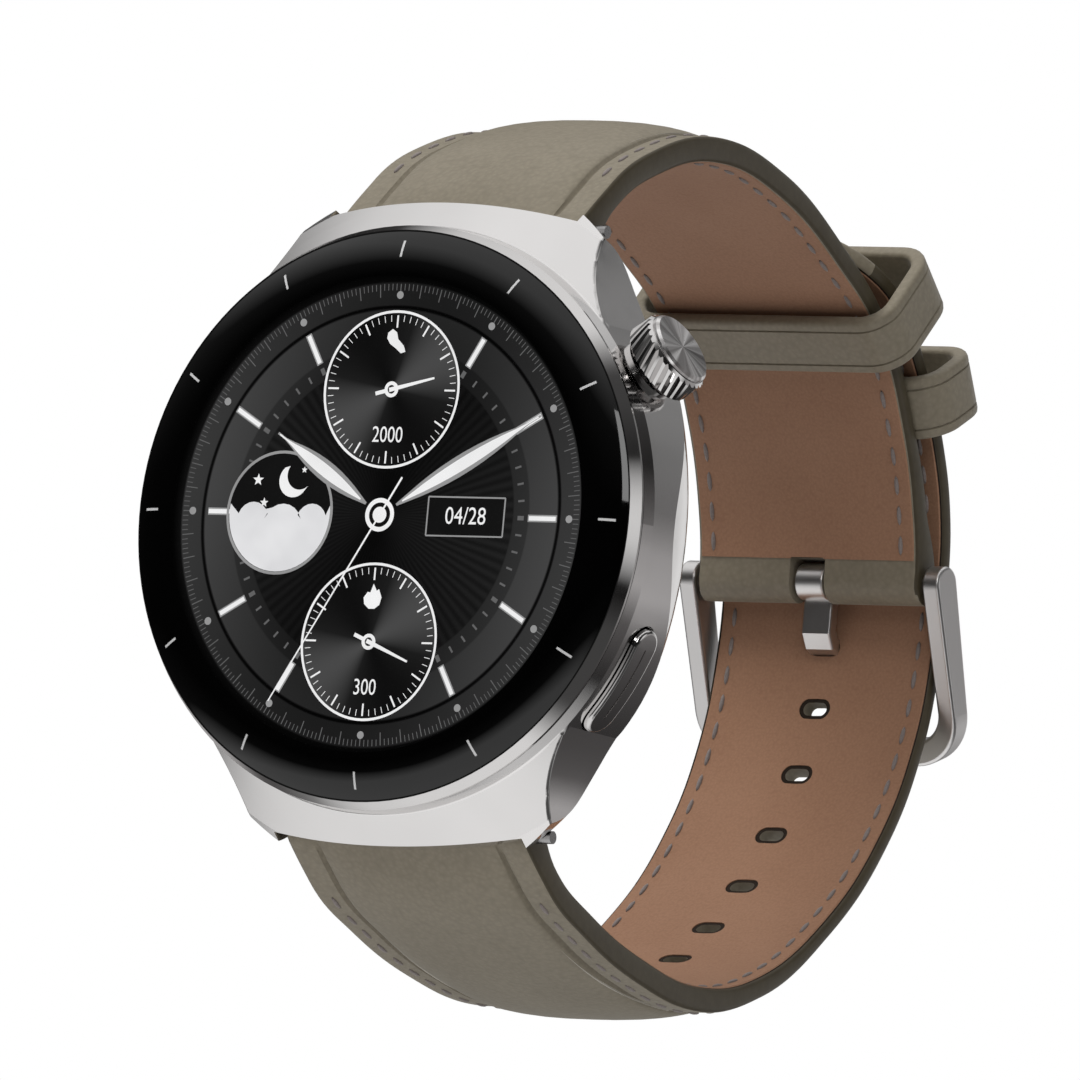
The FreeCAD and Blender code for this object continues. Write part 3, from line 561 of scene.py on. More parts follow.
def heightOn(route, height):
    # where the route crosses that height on the wrist's far side
    choices = [(abs(s.z - height), d) for s, d in zip(route["spots"],
            route["along"]) if s.y > holes["farSide"]]
    return spotOn(route, min(choices)[1])


for piece, layer in ((lowerSkin, "skin"), (lowerLining, "lining")):
    width, tall = holes[layer]
    for height in holes["heights"]:
        spot, direction = heightOn(lower["route"], height)
        carve(piece, holeCutter(spot, direction, width, tall))
    spot, direction = heightOn(lower["route"], engaged[layer][0])
    carve(piece, holeCutter(spot, direction, engaged["width"], engaged[layer][1]))
for piece in (upperSkin, upperLining):
    carve(piece, boxCutter(*notch))
for piece in (upperSkin, lowerSkin, upperLining, lowerLining):
    piece.data.shade_smooth()
    piece.data.set_sharp_from_angle(angle=math.radians(38))
for piece in (upperSkin, lowerSkin):
    paintEdges(piece, strap["half"])
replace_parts(upperSkin, "strap_12_leather")
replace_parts(lowerSkin, "strap_6_leather")
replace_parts(upperLining, "strap_12_lining")
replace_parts(lowerLining, "strap_6_lining")
for sideSign, sideName in ((-1, "left"), (1, "right")):
    for part, last in ((upper, 68.0), (lower, lower["route"]["length"] - 9.0)):
        inner = stitchRow(part["name"] + "_stitches_in_" + sideName, part, 6.5, last, -0.09, sideSign)
        outer = stitchRow(part["name"] + "_stitches_out_" + sideName, part, 5.0, last, 0.0, sideSign)
print("strap built, upper", round(upper["route"]["length"], 1), "lower", round(lower["route"]["length"], 1))


keeper = {"half": 12.1, "width": 5.0, "thick": 1.2, "corner": 2.8, "crease": 0.85, "creaseDepth": 0.12,
        "edgeRound": 0.35}
keeperPlaces = {"floating_keeper": (22.0, -1.9, 7.9), "fixed_keeper": (16.0, 1.7, 9.4)}   # Z, low, high


def keeperSection():
    # (across the band, out from its inner face), with a crease near each edge of the outer face
    w, t, r = keeper["width"] / 2, keeper["thick"], keeper["edgeRound"]
    c, d = keeper["crease"], keeper["creaseDepth"]
    steps = (0, 0.52, 1.05, math.pi / 2)
    lowerEdge = [(w - r + r * math.sin(a), r - r * math.cos(a)) for a in steps]
    upperEdge = [(w - r + r * math.cos(a), t - r + r * math.sin(a)) for a in steps]
    line = [(w - c + 0.1, t), (w - c + 0.03, t - d), (w - c - 0.03, t - d), (w - c - 0.1, t)]
    right = lowerEdge + upperEdge + line
    return right + [(-x, h) for x, h in reversed(right)]


def makeKeeper(name, spot, direction, low, high):
    # swept round a rounded rectangle, square to the strap
    half, corner, t = keeper["half"], keeper["corner"], keeper["thick"]
    loop = []
    for sx, top, startAngle in ((1, True, 0), (-1, True, 90), (-1, False, 180), (1, False, 270)):
        centre = Vector((sx * (half - corner), (high - corner) if top else (low + corner)))
        for step in range(9):
            angle = math.radians(startAngle + step * 90 / 8)
            facing = Vector((math.cos(angle), math.sin(angle)))
            loop.append((centre + facing * (corner - t), facing))
    normal = outwards(direction, 1)
    sections = []
    for place, facing in loop + loop[:1]:
        section = []
        for across, out in keeperSection():
            x, h = place + facing * out
            section.append(Vector((x, spot.y, spot.z)) + normal * h + direction * across)
        sections.append(section)
    body = "floating_keeper" if name == "floating_keeper" else "case"
    piece = newPiece(name + "_band", loft(sections, joined=True), outerLeather, body)
    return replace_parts(piece, name)


for name, (height, low, high) in keeperPlaces.items():
    spot, direction = heightOn(upper["route"], height)
    makeKeeper(name, spot, direction, low, high)
print("keepers built")


dial = {
    "front": -10.93, "ink": 0.02,       # Y of the lit face, just under the glass, and one drawn layer
    "faceRadius": 20.9, "faceBack": 0.45, "faceSunk": 0.04,
    "printInside": 18.9, "printOutside": 21.9, "printFront": 0.03, "printBack": 0.06,
}
glassLens = {"flatRadius": 18.4, "front": -12.0, "edgeMid": (20.45, -11.68), "edge": (21.98, -10.95),
             "back": -10.55}        # the print and the lit dial are bonded inside, with no air gap
rim = {"inside": 18.45, "tickRadius": 20.55, "tickReach": 0.62, "tickSine": 0.024}


def spun(outline, segments=160):
    # turns (radius, y) points round the case's axis
    mesh = bmesh.new()
    verts = [bmesh.ops.create_vert(mesh, co=(radius, y, 0))["vert"][0] for radius, y in outline]
    edges = [mesh.edges.new(pair) for pair in zip(verts, verts[1:])]
    bmesh.ops.spin(mesh, geom=verts + edges, cent=(0, 0, 0), axis=(0, 1, 0), angle=2 * math.pi,
            steps=segments, use_merge=True)
    bmesh.ops.remove_doubles(mesh, verts=mesh.verts, dist=0.0005)
    return mesh


def arcThrough(start, middle, end, count):
    # points on the circle through three points
    (ax, ay), (bx, by), (cx, cy) = start, middle, end
    squares = [x * x + y * y for x, y in (start, middle, end)]
    d = 2 * (ax * (by - cy) + bx * (cy - ay) + cx * (ay - by))
    ux = (squares[0] * (by - cy) + squares[1] * (cy - ay) + squares[2] * (ay - by)) / d
    uy = (squares[0] * (cx - bx) + squares[1] * (ax - cx) + squares[2] * (bx - ax)) / d
    radius = math.hypot(ax - ux, ay - uy)
    first, last = math.atan2(ay - uy, ax - ux), math.atan2(cy - uy, cx - ux)
    turns = [first + (last - first) * i / count for i in range(count + 1)]
    return [(ux + radius * math.cos(turn), uy + radius * math.sin(turn)) for turn in turns]


def glassMaterial():
    # aluminosilicate cover glass with an anti-reflective coating: clear, with faint reflections
    material, tree, shader, place = startMaterial("coated_cover_glass",
            {"Roughness": 0.015, "IOR": 1.5, "Transmission Weight": 1.0, "Specular IOR Level": 0.02,
            "Base Color": linearColour("#fbfbfc")})
    smear = addNode(tree, "TexNoise", {"Scale": perMetre(14.0), "Detail": 3.0}, {"Vector": place})
    rough = addNode(tree, "MapRange", {"To Min": 0.004, "To Max": 0.012}, {"Value": smear})
    feed(tree, shader, {"Roughness": rough})
    return material


def printedRimMaterial():
    # rim of the cover glass, printed black on its back with twelve fine grey hour marks
    material, tree, shader, place = startMaterial("printed_glass_rim", {"Roughness": 0.03, "IOR": 1.5})
    parts = addNode(tree, "SeparateXYZ", links={0: place})
    flat = addNode(tree, "VectorMath", {"operation": "MULTIPLY", 1: (1, 0, 1)}, {0: place})
    radius = addNode(tree, "VectorMath", {"operation": "LENGTH"}, {0: flat})
    turn = addNode(tree, "Math", {"operation": "ARCTAN2"}, {0: parts.outputs["Z"], 1: parts.outputs["X"]})
    sixfold = addNode(tree, "Math", {"operation": "MULTIPLY", 1: 6.0}, {0: turn})
    wave = addNode(tree, "Math", {"operation": "SINE"}, {0: sixfold})
    aside = addNode(tree, "Math", {"operation": "ABSOLUTE"}, {0: wave})
    narrow = addNode(tree, "MapRange", {"From Min": rim["tickSine"], "From Max": rim["tickSine"] * 1.3,
            "To Min": 1.0, "To Max": 0.0}, {"Value": aside})
    offset = addNode(tree, "Math", {"operation": "SUBTRACT", 1: rim["tickRadius"] * mm},
            {0: radius.outputs["Value"]})
    reach = addNode(tree, "Math", {"operation": "ABSOLUTE"}, {0: offset})
    short = addNode(tree, "MapRange", {"From Min": rim["tickReach"] * mm,
            "From Max": rim["tickReach"] * mm * 1.1, "To Min": 1.0, "To Max": 0.0}, {"Value": reach})
    mark = addNode(tree, "Math", {"operation": "MULTIPLY"}, {0: narrow, 1: short})
    tone = addNode(tree, "Mix", {"data_type": "RGBA", 6: linearColour("#010101"),
            7: linearColour("#c8c8c8")}, {0: mark})
    smear = addNode(tree, "TexNoise", {"Scale": perMetre(14.0), "Detail": 3.0}, {"Vector": place})
    rough = addNode(tree, "MapRange", {"To Min": 0.02, "To Max": 0.05}, {"Value": smear})
    feed(tree, shader, {"Base Color": tone.outputs[2], "Roughness": rough})
    return material


coverGlass = glassMaterial()
edgeArc = arcThrough((glassLens["flatRadius"], glassLens["front"]), glassLens["edgeMid"],
        glassLens["edge"], 14)
lens = newPiece("cover_glass_lens", spun([(0.0, glassLens["front"]),
        (9.0, glassLens["front"])] + edgeArc + [(glassLens["edge"][0], glassLens["back"]),
        (9.0, glassLens["back"]), (0.0, glassLens["back"])]), coverGlass, "case", 30)
lens.data.materials.append(printedRimMaterial())
for polygon in lens.data.polygons:
    onRim = math.hypot(polygon.center.x, polygon.center.z) > rim["inside"] * mm
    if onRim and polygon.center.y < dial["front"] * mm:
        polygon.material_index = 1
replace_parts(lens, "cover_glass")


def glowMaterial(name, colour, strength, brighter=None):
    # lit areas of an AMOLED screen: light of their own under the glass, with a slight unevenness
    material, tree, shader, place = startMaterial(name, {"Base Color": linearColour("#020202"),
            "Roughness": 0.5, "Specular IOR Level": 0.0, "Emission Strength": strength})
    cloud = addNode(tree, "TexNoise", {"Scale": perMetre(3.0), "Detail": 2.0}, {"Vector": place})
    tone = addNode(tree, "Mix", {"data_type": "RGBA", 6: linearColour(colour),
            7: linearColour(brighter or colour)}, {0: cloud})
    feed(tree, shader, {"Emission Color": tone.outputs[2]})
    return material


def dialFaceMaterial():
    # the lit dial background: a dark ring track, a greyer hour ring and a sunray centre
    material, tree, shader, place = startMaterial("amoled_dial_face", {"Base Color": linearColour("#020202"),
            "Roughness": 0.4, "Specular IOR Level": 0.0, "Emission Strength": 1.0})
    parts = addNode(tree, "SeparateXYZ", links={0: place})
    squareX = addNode(tree, "Math", {"operation": "MULTIPLY"}, {0: parts.outputs["X"],
            1: parts.outputs["X"]})
    squareSum = addNode(tree, "Math", {"operation": "MULTIPLY_ADD"},
            {0: parts.outputs["Z"], 1: parts.outputs["Z"], 2: squareX})
    radius = addNode(tree, "Math", {"operation": "SQRT"}, {0: squareSum})
    outward = addNode(tree, "MapRange", {"From Min": 0.0, "From Max": 0.021}, {"Value": radius})
    turn = addNode(tree, "Math", {"operation": "ARCTAN2"}, {0: parts.outputs["Z"], 1: parts.outputs["X"]})

    def share(r):
        return r / 21.0
    rings = addNode(tree, "ValToRGB", {"stops": [(0.0, "#0b0b0b"), (share(3.0), "#101010"),
            (share(11.9), "#161616"), (share(12.0), "#232323"), (share(13.3), "#262626"),
            (share(13.4), "#323232"), (share(15.85), "#383838"), (share(15.95), "#050505"),
            (share(16.15), "#050505"), (share(16.25), "#2c2c2c"), (share(17.9), "#2e2e2e"),
            (share(18.05), "#0a0a0a"), (share(18.7), "#010101")]}, {"Fac": outward})
    lobes = addNode(tree, "Math", {"operation": "MULTIPLY", 1: 2.0}, {0: turn})
    shifted = addNode(tree, "Math", {"operation": "ADD", 1: 0.4}, {0: lobes})
    swing = addNode(tree, "Math", {"operation": "COSINE"}, {0: shifted})
    slow = addNode(tree, "MapRange", {"From Min": -1.0, "From Max": 1.0, "To Min": 0.45, "To Max": 1.5},
            {"Value": swing})
    fine = addNode(tree, "Math", {"operation": "MULTIPLY", 1: 90.0}, {0: turn})
    beat = addNode(tree, "Math", {"operation": "SINE"}, {0: fine})
    ray = addNode(tree, "MapRange", {"From Min": -1.0, "From Max": 1.0, "To Min": 0.72, "To Max": 1.3},
            {"Value": beat})
    inner = addNode(tree, "MapRange", {"From Min": 0.0118, "From Max": 0.012, "To Min": 1.0,
            "To Max": 0.0}, {"Value": radius})
    rayHere = addNode(tree, "Mix", {"data_type": "FLOAT", 2: 1.0}, {0: inner, 3: ray})
    both = addNode(tree, "Math", {"operation": "MULTIPLY"}, {0: slow, 1: rayHere})
    lit = addNode(tree, "VectorMath", {"operation": "SCALE"}, {0: rings, "Scale": both})
    feed(tree, shader, {"Emission Color": lit})
    return material


def subdialMaterial(name, centre):
    # brushed-metal look of a small dial, drawn on the screen: two bright lobes across a dark disc
    material, tree, shader, place = startMaterial(name, {"Base Color": linearColour("#020202"),
            "Roughness": 0.4, "Specular IOR Level": 0.0, "Emission Strength": 1.0})
    moved = addNode(tree, "Mapping", {"Location": (-centre[0] * mm, 0, -centre[1] * mm)},
            {"Vector": place})
    parts = addNode(tree, "SeparateXYZ", links={0: moved})
    turn = addNode(tree, "Math", {"operation": "ARCTAN2"}, {0: parts.outputs["Z"], 1: parts.outputs["X"]})
    doubled = addNode(tree, "Math", {"operation": "MULTIPLY_ADD", 1: 2.0, 2: -1.1}, {0: turn})
    swing = addNode(tree, "Math", {"operation": "COSINE"}, {0: doubled})
    lobe = addNode(tree, "MapRange", {"From Min": -1.0, "From Max": 1.0}, {"Value": swing})
    shade = addNode(tree, "ValToRGB", {"stops": [(0.0, "#0e0e0e"), (0.55, "#1c1c1c"), (1.0, "#4a4a4a")]},
            {"Fac": lobe})
    feed(tree, shader, {"Emission Color": shade})
    return material


dialFace = dialFaceMaterial()
whiteGlow = glowMaterial("amoled_white_glow", "#e8e8e8", 1.0, "#ffffff")
greyGlow = glowMaterial("amoled_grey_glow", "#8d8d8d", 1.0, "#a2a2a2")
dimGlow = glowMaterial("amoled_dim_glow", "#5c5c5c", 1.0, "#6c6c6c")
darkGlow = glowMaterial("amoled_dark_glow", "#101010", 1.0, "#161616")
cloudGlow = glowMaterial("amoled_cloud_glow", "#d4d4d6", 1.0, "#f4f4f5")

faceFront, faceBack = dial["front"] + dial["faceSunk"], dial["front"] + dial["faceBack"]
face = newPiece("dial_face", spun([(0.0, faceBack), (dial["faceRadius"], faceBack),
        (dial["faceRadius"], faceFront), (18.0, faceFront), (9.0, faceFront), (0.0, faceFront)]), dialFace,
        "case", 30)
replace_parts(face, "display_panel")
printFront, printBack = dial["front"] + dial["printFront"], dial["front"] + dial["printBack"]
border = newPiece("glass_border_print", spun([(dial["printInside"], printFront),
        (dial["printOutside"], printFront), (dial["printOutside"], printBack),
        (dial["printInside"], printBack), (dial["printInside"], printFront)]), printedBlack, "case", 30)


def addBar(mesh, centre, length, width, degrees, level=0, narrow=None):
    # a flat bar on the dial: centre (x, z), lying at the given angle from +X; narrow is its far width
    made = bmesh.ops.create_cube(mesh, size=1)["verts"]
    top = dial["front"] - level * dial["ink"]
    angle = math.radians(degrees)
    for vert in made:
        u, thick, w = vert.co.x * length, vert.co.y, vert.co.z
        w *= (narrow if narrow is not None and u > 0 else width)
        vert.co = (centre[0] + u * math.cos(angle) - w * math.sin(angle),
                top + (thick - 0.5) * dial["ink"] + 0.01,
                centre[1] + u * math.sin(angle) + w * math.cos(angle))


def addDisc(mesh, centre, radius, level=0, inner=0.0, segments=48):
    # a flat disc or ring on the dial
    top = dial["front"] - level * dial["ink"]
    place = Matrix.Translation((centre[0], top, centre[1])) @ Matrix.Rotation(math.pi / 2, 4, "X")
    made = bmesh.ops.create_circle(mesh, cap_ends=True, segments=segments, radius=radius,
            matrix=place)["verts"]
    if inner:
        flat = [made[0].link_faces[0]]
        bmesh.ops.inset_region(mesh, faces=flat, thickness=radius - inner, use_even_offset=True,
                use_boundary=True)
        bmesh.ops.delete(mesh, geom=flat, context="FACES")


def addOutline(mesh, points, level=0):
    # a filled flat shape from (x, z) points
    top = dial["front"] - level * dial["ink"]
    verts = [bmesh.ops.create_vert(mesh, co=(x, top, z))["vert"][0] for x, z in points]
    edges = [mesh.edges.new((verts[i], verts[(i + 1) % len(verts)])) for i in range(len(verts))]
    bmesh.ops.triangle_fill(mesh, edges=edges, use_beauty=True)


def inkPiece(name, mesh, material):
    piece = newPiece(name, mesh, material, "case", 30)
    for poly in piece.data.polygons:      # the drawn side faces the wearer
        if poly.normal.y > 0.9:
            poly.flip()
    return piece


def around(count, skip=()):
    return [i * 360 / count for i in range(count) if i not in skip]


def polar(radius, degrees, centre=(0, 0)):
    return (centre[0] + radius * math.cos(math.radians(degrees)),
            centre[1] + radius * math.sin(math.radians(degrees)))


# minute track: longer marks at the minutes, with four fine ones between each pair
minuteMarks = {"count": 300, "long": (17.35, 1.0, 0.07), "short": (17.62, 0.5, 0.05)}   # radius, long, wide
track = bmesh.new()
for index, degrees in enumerate(around(minuteMarks["count"])):
    radius, length, width = minuteMarks["short" if index % 5 else "long"]
    addBar(track, polar(radius, degrees), length, width, degrees, 1)
inkPiece("minute_track", track, dimGlow)

hourMarks = {"pearlRadius": 17.0, "pearl": 0.3, "radius": 14.6, "bar": (2.4, 0.34), "shade": (2.6, 0.56),
             "nineBar": 1.9, "nineShade": 2.0}      # the bar beside the moon window is shorter
pearls = bmesh.new()
for degrees in around(12):
    addDisc(pearls, polar(hourMarks["pearlRadius"], degrees), hourMarks["pearl"], 2, segments=20)
inkPiece("hour_pearls", pearls, greyGlow)

batons = bmesh.new()
batonShade = bmesh.new()
for degrees in around(12, skip=(3, 9)):
    place, nine = polar(hourMarks["radius"], degrees), degrees == 180
    (length, width), (under, wider) = hourMarks["bar"], hourMarks["shade"]
    addBar(batonShade, place, hourMarks["nineShade"] if nine else under, wider, degrees, 1)
    addBar(batons, place, hourMarks["nineBar"] if nine else length, width, degrees, 2)
inkPiece("hour_batons", batons, whiteGlow)
inkPiece("hour_baton_shades", batonShade, greyGlow)

dashRing = {"radius": 12.65, "length": 0.55, "hourWidth": 0.34, "width": 0.16}
dashes = bmesh.new()
for index, degrees in enumerate(around(60)):
    width = dashRing["width"] if index % 5 else dashRing["hourWidth"]
    addBar(dashes, polar(dashRing["radius"], degrees), dashRing["length"], width, degrees, 1)
inkPiece("inner_dash_ring", dashes, dimGlow)

subdial = {
    "radius": 6.0, "rimOut": 0.12, "rimIn": 0.08,
    "long": (0.75, 0.95, 0.14), "short": (0.5, 0.5, 0.05),      # in from the rim, length, width
    "pointer": (0.34, 0.16), "tail": (-1.0, 0.9, 0.3), "hub": (0.62, 0.34),
    "numberDrop": 3.55, "numberSize": 1.75,
}


def makeSubdial(name, centre, pointer, number):
    radius = subdial["radius"]
    addedFace = bmesh.new()
    addDisc(addedFace, centre, radius, 2, segments=72)
    inkPiece(name + "_face", addedFace, subdialMaterial(name + "_lit_face", centre))
    lines = bmesh.new()
    addDisc(lines, centre, radius + subdial["rimOut"], 3, inner=radius - subdial["rimIn"], segments=72)
    for index, degrees in enumerate(around(60)):
        inset, length, width = subdial["short" if index % 5 else "long"]
        addBar(lines, polar(radius - inset, degrees, centre), length, width, degrees, 3)
    angle, reach = pointer
    width, tipWidth = subdial["pointer"]
    addBar(lines, polar(reach * 0.45, angle, centre), reach, width, angle, 5, narrow=tipWidth)
    back, length, width = subdial["tail"]
    addBar(lines, polar(back, angle, centre), length, width, angle, 5)
    addDisc(lines, centre, subdial["hub"][0], 6, inner=subdial["hub"][1], segments=28)
    inkPiece(name + "_marks", lines, whiteGlow)
    place = (centre[0], centre[1] - subdial["numberDrop"])
    addText(name + "_number", number, place, subdial["numberSize"], 5, whiteGlow)


def addText(name, text, centre, size, level, material, squeeze=0.8):
    # plain numbers only, made a mesh before they are placed
    letters = bpy.data.curves.new(name, "FONT")
    letters.body = text
    letters.size = size
    letters.align_x = "CENTER"
    letters.align_y = "CENTER"
    letters.resolution_u = 4
    holder = bpy.data.objects.new(name + "_letters", letters)
    flat = bpy.data.meshes.new_from_object(holder)
    bpy.data.objects.remove(holder)
    mesh = bmesh.new()
    mesh.from_mesh(flat)
    bpy.data.meshes.remove(flat)
    top = dial["front"] - level * dial["ink"]
    for vert in mesh.verts:
        vert.co = (centre[0] + vert.co.x * squeeze, top, centre[1] + vert.co.y)
    return inkPiece(name, mesh, material)


subdialHeights = {"steps": 9.7, "energy": -9.8}
makeSubdial("steps_subdial", (0.0, subdialHeights["steps"]), (14.0, 4.1), "2000")
makeSubdial("energy_subdial", (0.0, subdialHeights["energy"]), (-22.0, 4.1), "300")

# a shoe sole and a flame, each from a few points round a simple outline, with its size and rise
sole = {"size": (1.0, 0.85), "rise": 3.6, "points": [(-0.75, 0.9), (-0.35, 1.25), (0.05, 0.95),
        (0.2, 0.35), (0.75, -0.25), (0.95, -0.8), (0.55, -0.95), (0.1, -0.55), (-0.5, -0.1), (-0.8, 0.4)]}
flame = {"size": (0.95, 0.9), "rise": 3.4, "points": [(0.0, 1.2), (0.35, 0.6), (0.55, 0.75), (0.85, 0.05),
        (0.7, -0.6), (0.25, -0.95), (-0.3, -0.95), (-0.75, -0.55), (-0.85, 0.0), (-0.5, 0.5),
        (-0.25, 0.45)]}
icons = bmesh.new()
for icon, height in ((sole, subdialHeights["steps"]), (flame, subdialHeights["energy"])):
    wide, tall = icon["size"]
    addOutline(icons, [(x * wide, height + icon["rise"] + z * tall) for x, z in icon["points"]], 5)
inkPiece("subdial_icons", icons, whiteGlow)

# moon window on the left: night sky over a bank of cloud
moonWindow = {
    "centre": (-9.1, 0.0), "radius": 4.7, "rimOut": 0.1, "rimIn": 0.12, "cloudInset": 0.15,
    "arc": (172, 368), "puffs": ((2.9, 1.35, -0.6), (0.3, 1.75, -1.05), (-2.4, 1.4, -0.6)),   # X, radius, Z
    "crescent": ((1.3, 130, 200, (-8.1, 2.5)), (1.15, 315, -170, (-7.55, 2.95))),   # radius, start, turn
    "stars": ((-11.3, 2.5, 0.5), (-10.6, 0.75, 0.4), (-7.2, 3.35, 0.28)), "starWaist": 0.42,
}
moonCentre, moonRadius = moonWindow["centre"], moonWindow["radius"]
sky = bmesh.new()
addDisc(sky, moonCentre, moonRadius, 2, segments=64)
inkPiece("moon_sky", sky, darkGlow)
moonEdge = bmesh.new()
addDisc(moonEdge, moonCentre, moonRadius + moonWindow["rimOut"], 5, inner=moonRadius - moonWindow["rimIn"],
        segments=64)
inkPiece("moon_rim", moonEdge, greyGlow)
cloud = bmesh.new()
fromAngle, toAngle = moonWindow["arc"]
bank = [polar(moonRadius - moonWindow["cloudInset"], fromAngle + step * (toAngle - fromAngle) / 32,
        moonCentre) for step in range(33)]
for puffX, puffRadius, puffZ in moonWindow["puffs"]:
    bank += [polar(puffRadius, 20 + step * 140 / 8, (moonCentre[0] + puffX, puffZ)) for step in range(9)]
addOutline(cloud, bank, 3)
inkPiece("moon_cloud", cloud, cloudGlow)
moon = bmesh.new()
crescent = []
for radius, start, turn, centre in moonWindow["crescent"]:
    crescent += [polar(radius, start + step * turn / 16, centre) for step in range(17)]
addOutline(moon, crescent, 3)
for starX, starZ, starSize in moonWindow["stars"]:
    points = [polar(starSize * (moonWindow["starWaist"] if i % 2 else 1), 90 + i * 36,
            (starX, starZ)) for i in range(10)]
    addOutline(moon, points, 3)
inkPiece("moon_and_stars", moon, whiteGlow)

# date window on the right
window = {"centre": (7.7, 0.0), "width": 6.9, "height": 3.0, "line": 0.12, "numberSize": 1.9,
        "squeeze": 0.86}
wide, tall = window["width"], window["height"]
wx, wz = window["centre"]
frameLines = bmesh.new()
for side in (-0.5, 0.5):
    addBar(frameLines, (wx, wz + side * tall), wide, window["line"], 0, 3)
for side in (-0.5, 0.5):
    addBar(frameLines, (wx + side * wide, wz), tall, window["line"], 90, 3)
inkPiece("date_frame", frameLines, greyGlow)
windowFill = bmesh.new()
addBar(windowFill, (wx, wz), wide, tall, 0, 2)
inkPiece("date_window", windowFill, darkGlow)
addText("date_number", "04/28", (wx, wz), window["numberSize"], 4, whiteGlow, window["squeeze"])


def addLeaf(mesh, length, start, width, degrees, level):
    # a leaf-shaped hand that points out at the given angle
    points = []
    for step in range(13):
        share = step / 12
        bulge = math.sin(math.pi * min(share / 0.9, 1.0)) ** 0.8
        points.append((start + (length - start) * share, 0.5 * width * max(bulge, 0.12)))
    outline = points + [(u, -w) for u, w in reversed(points)]
    angle = math.radians(degrees)
    addOutline(mesh, [(u * math.cos(angle) - w * math.sin(angle),
                       u * math.sin(angle) + w * math.cos(angle)) for u, w in outline], level)


handSet = {
    "hour": {"angle": 148, "reach": 11.6}, "minute": {"angle": 30, "reach": 15.8},
    "flank": (1.6, 1.6), "face": (2.2, 0.95), "short": 0.2,     # where a leaf starts, and its width
    "second": {"angle": -120.5, "middle": 6.75, "length": 20.3, "width": 0.16, "tip": 0.1},
    "hubRing": (1.3, 0.95), "hubCap": 0.62, "hubGap": 1.0,
}
handShade = bmesh.new()
hands = bmesh.new()
for layer, hand in enumerate((handSet["hour"], handSet["minute"])):
    addLeaf(handShade, hand["reach"], *handSet["flank"], hand["angle"], 6 + layer)
    addLeaf(hands, hand["reach"] - handSet["short"], *handSet["face"], hand["angle"], 8 + layer)
inkPiece("hand_flanks", handShade, greyGlow)
second = handSet["second"]
addBar(hands, polar(second["middle"], second["angle"]), second["length"], second["width"], second["angle"],
        10, narrow=second["tip"])
addDisc(hands, (0, 0), handSet["hubRing"][0], 11, inner=handSet["hubRing"][1], segments=40)
addDisc(hands, (0, 0), handSet["hubCap"], 12, segments=32)
inkPiece("hands", hands, whiteGlow)
hubShade = bmesh.new()
addDisc(hubShade, (0, 0), handSet["hubGap"], 10, segments=40)
inkPiece("hand_hub", hubShade, darkGlow)
print("dial drawn")


def floorMaterial():
    # backlit opal acrylic sheet: glows softly upward, and is clear from below for a low camera
    material, tree, shader, place = startMaterial("opal_acrylic_sheet",
            {"Roughness": 0.9, "Specular IOR Level": 0.0, "Emission Color": linearColour("#fbfbfb"),
            "Emission Strength": 0.66})
    fibre = addNode(tree, "TexNoise", {"Scale": perMetre(2.0), "Detail": 4.0}, {"Vector": place})
    tone = addNode(tree, "Mix", {"data_type": "RGBA", 6: linearColour("#8c8b8b"),
            7: linearColour("#939292")}, {0: fibre})
    distance = addNode(tree, "VectorMath", {"operation": "LENGTH"}, {0: place})
    fade = addNode(tree, "MapRange", {"From Min": 0.16, "From Max": 0.32},
            {"Value": distance.outputs["Value"]})
    side = addNode(tree, "NewGeometry")
    clear = addNode(tree, "Math", {"operation": "MAXIMUM"}, {0: fade, 1: side.outputs["Backfacing"]})
    through = addNode(tree, "BsdfTransparent")
    output = next(node for node in tree.nodes if node.bl_idname == "ShaderNodeOutputMaterial")
    feed(tree, shader, {"Base Color": tone.outputs[2]})
    mixed = addNode(tree, "MixShader", links={0: clear, 1: shader, 2: through})
    feed(tree, output, {"Surface": mixed})
    return material


floorMesh = bmesh.new()
bmesh.ops.create_circle(floorMesh, cap_ends=True, segments=64, radius=0.35)
floorData = bpy.data.meshes.new("floor")
floorMesh.to_mesh(floorData)
floorMesh.free()
floorData.materials.append(floorMaterial())
floor = bpy.data.objects.new("floor", floorData)
floor.location = (0, 0.022, min(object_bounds()[0].z, cadLow.z) - 0.0002)
bpy.context.scene.collection.objects.link(floor)
floor.visible_glossy = False    # the steel mirrors the studio, not the sheet

world = bpy.data.worlds.new("studio")
bpy.context.scene.world = world
world.use_nodes = True
worldTree = world.node_tree
worldTree.nodes.clear()
skyCoords = addNode(worldTree, "TexCoord")
skyParts = addNode(worldTree, "SeparateXYZ", links={0: skyCoords.outputs["Generated"]})
heightShare = addNode(worldTree, "MapRange", {"From Min": -1.0, "From Max": 1.0},
        {"Value": skyParts.outputs["Z"]})
bands = addNode(worldTree, "ValToRGB", {"stops": [(0.0, "#ffffff"), (0.27, "#eeeeee"), (0.36, "#383838"),
        (0.46, "#181818"), (0.58, "#202020"), (0.7, "#4c4c4c"), (0.84, "#ececec"), (1.0, "#ffffff")]},
        {"Fac": heightShare})
behind = addNode(worldTree, "MapRange", {"From Min": 0.3, "From Max": 0.62,
        "interpolation_type": "SMOOTHSTEP"}, {"Value": skyParts.outputs["Y"]})
rearBands = addNode(worldTree, "ValToRGB", {"stops": [(0.12, "#d8d8d8"), (0.22, "#2a2929"),
        (0.34, "#5c5a5a"), (0.42, "#aeacac"), (0.5, "#a09e9e"), (0.58, "#5c5a5a"), (0.68, "#262525"),
        (0.78, "#3a3939"), (0.88, "#e2e2e2")]}, {"Fac": heightShare})
wristSky = addNode(worldTree, "Mix", {"data_type": "RGBA"}, {0: behind, 6: bands, 7: rearBands})
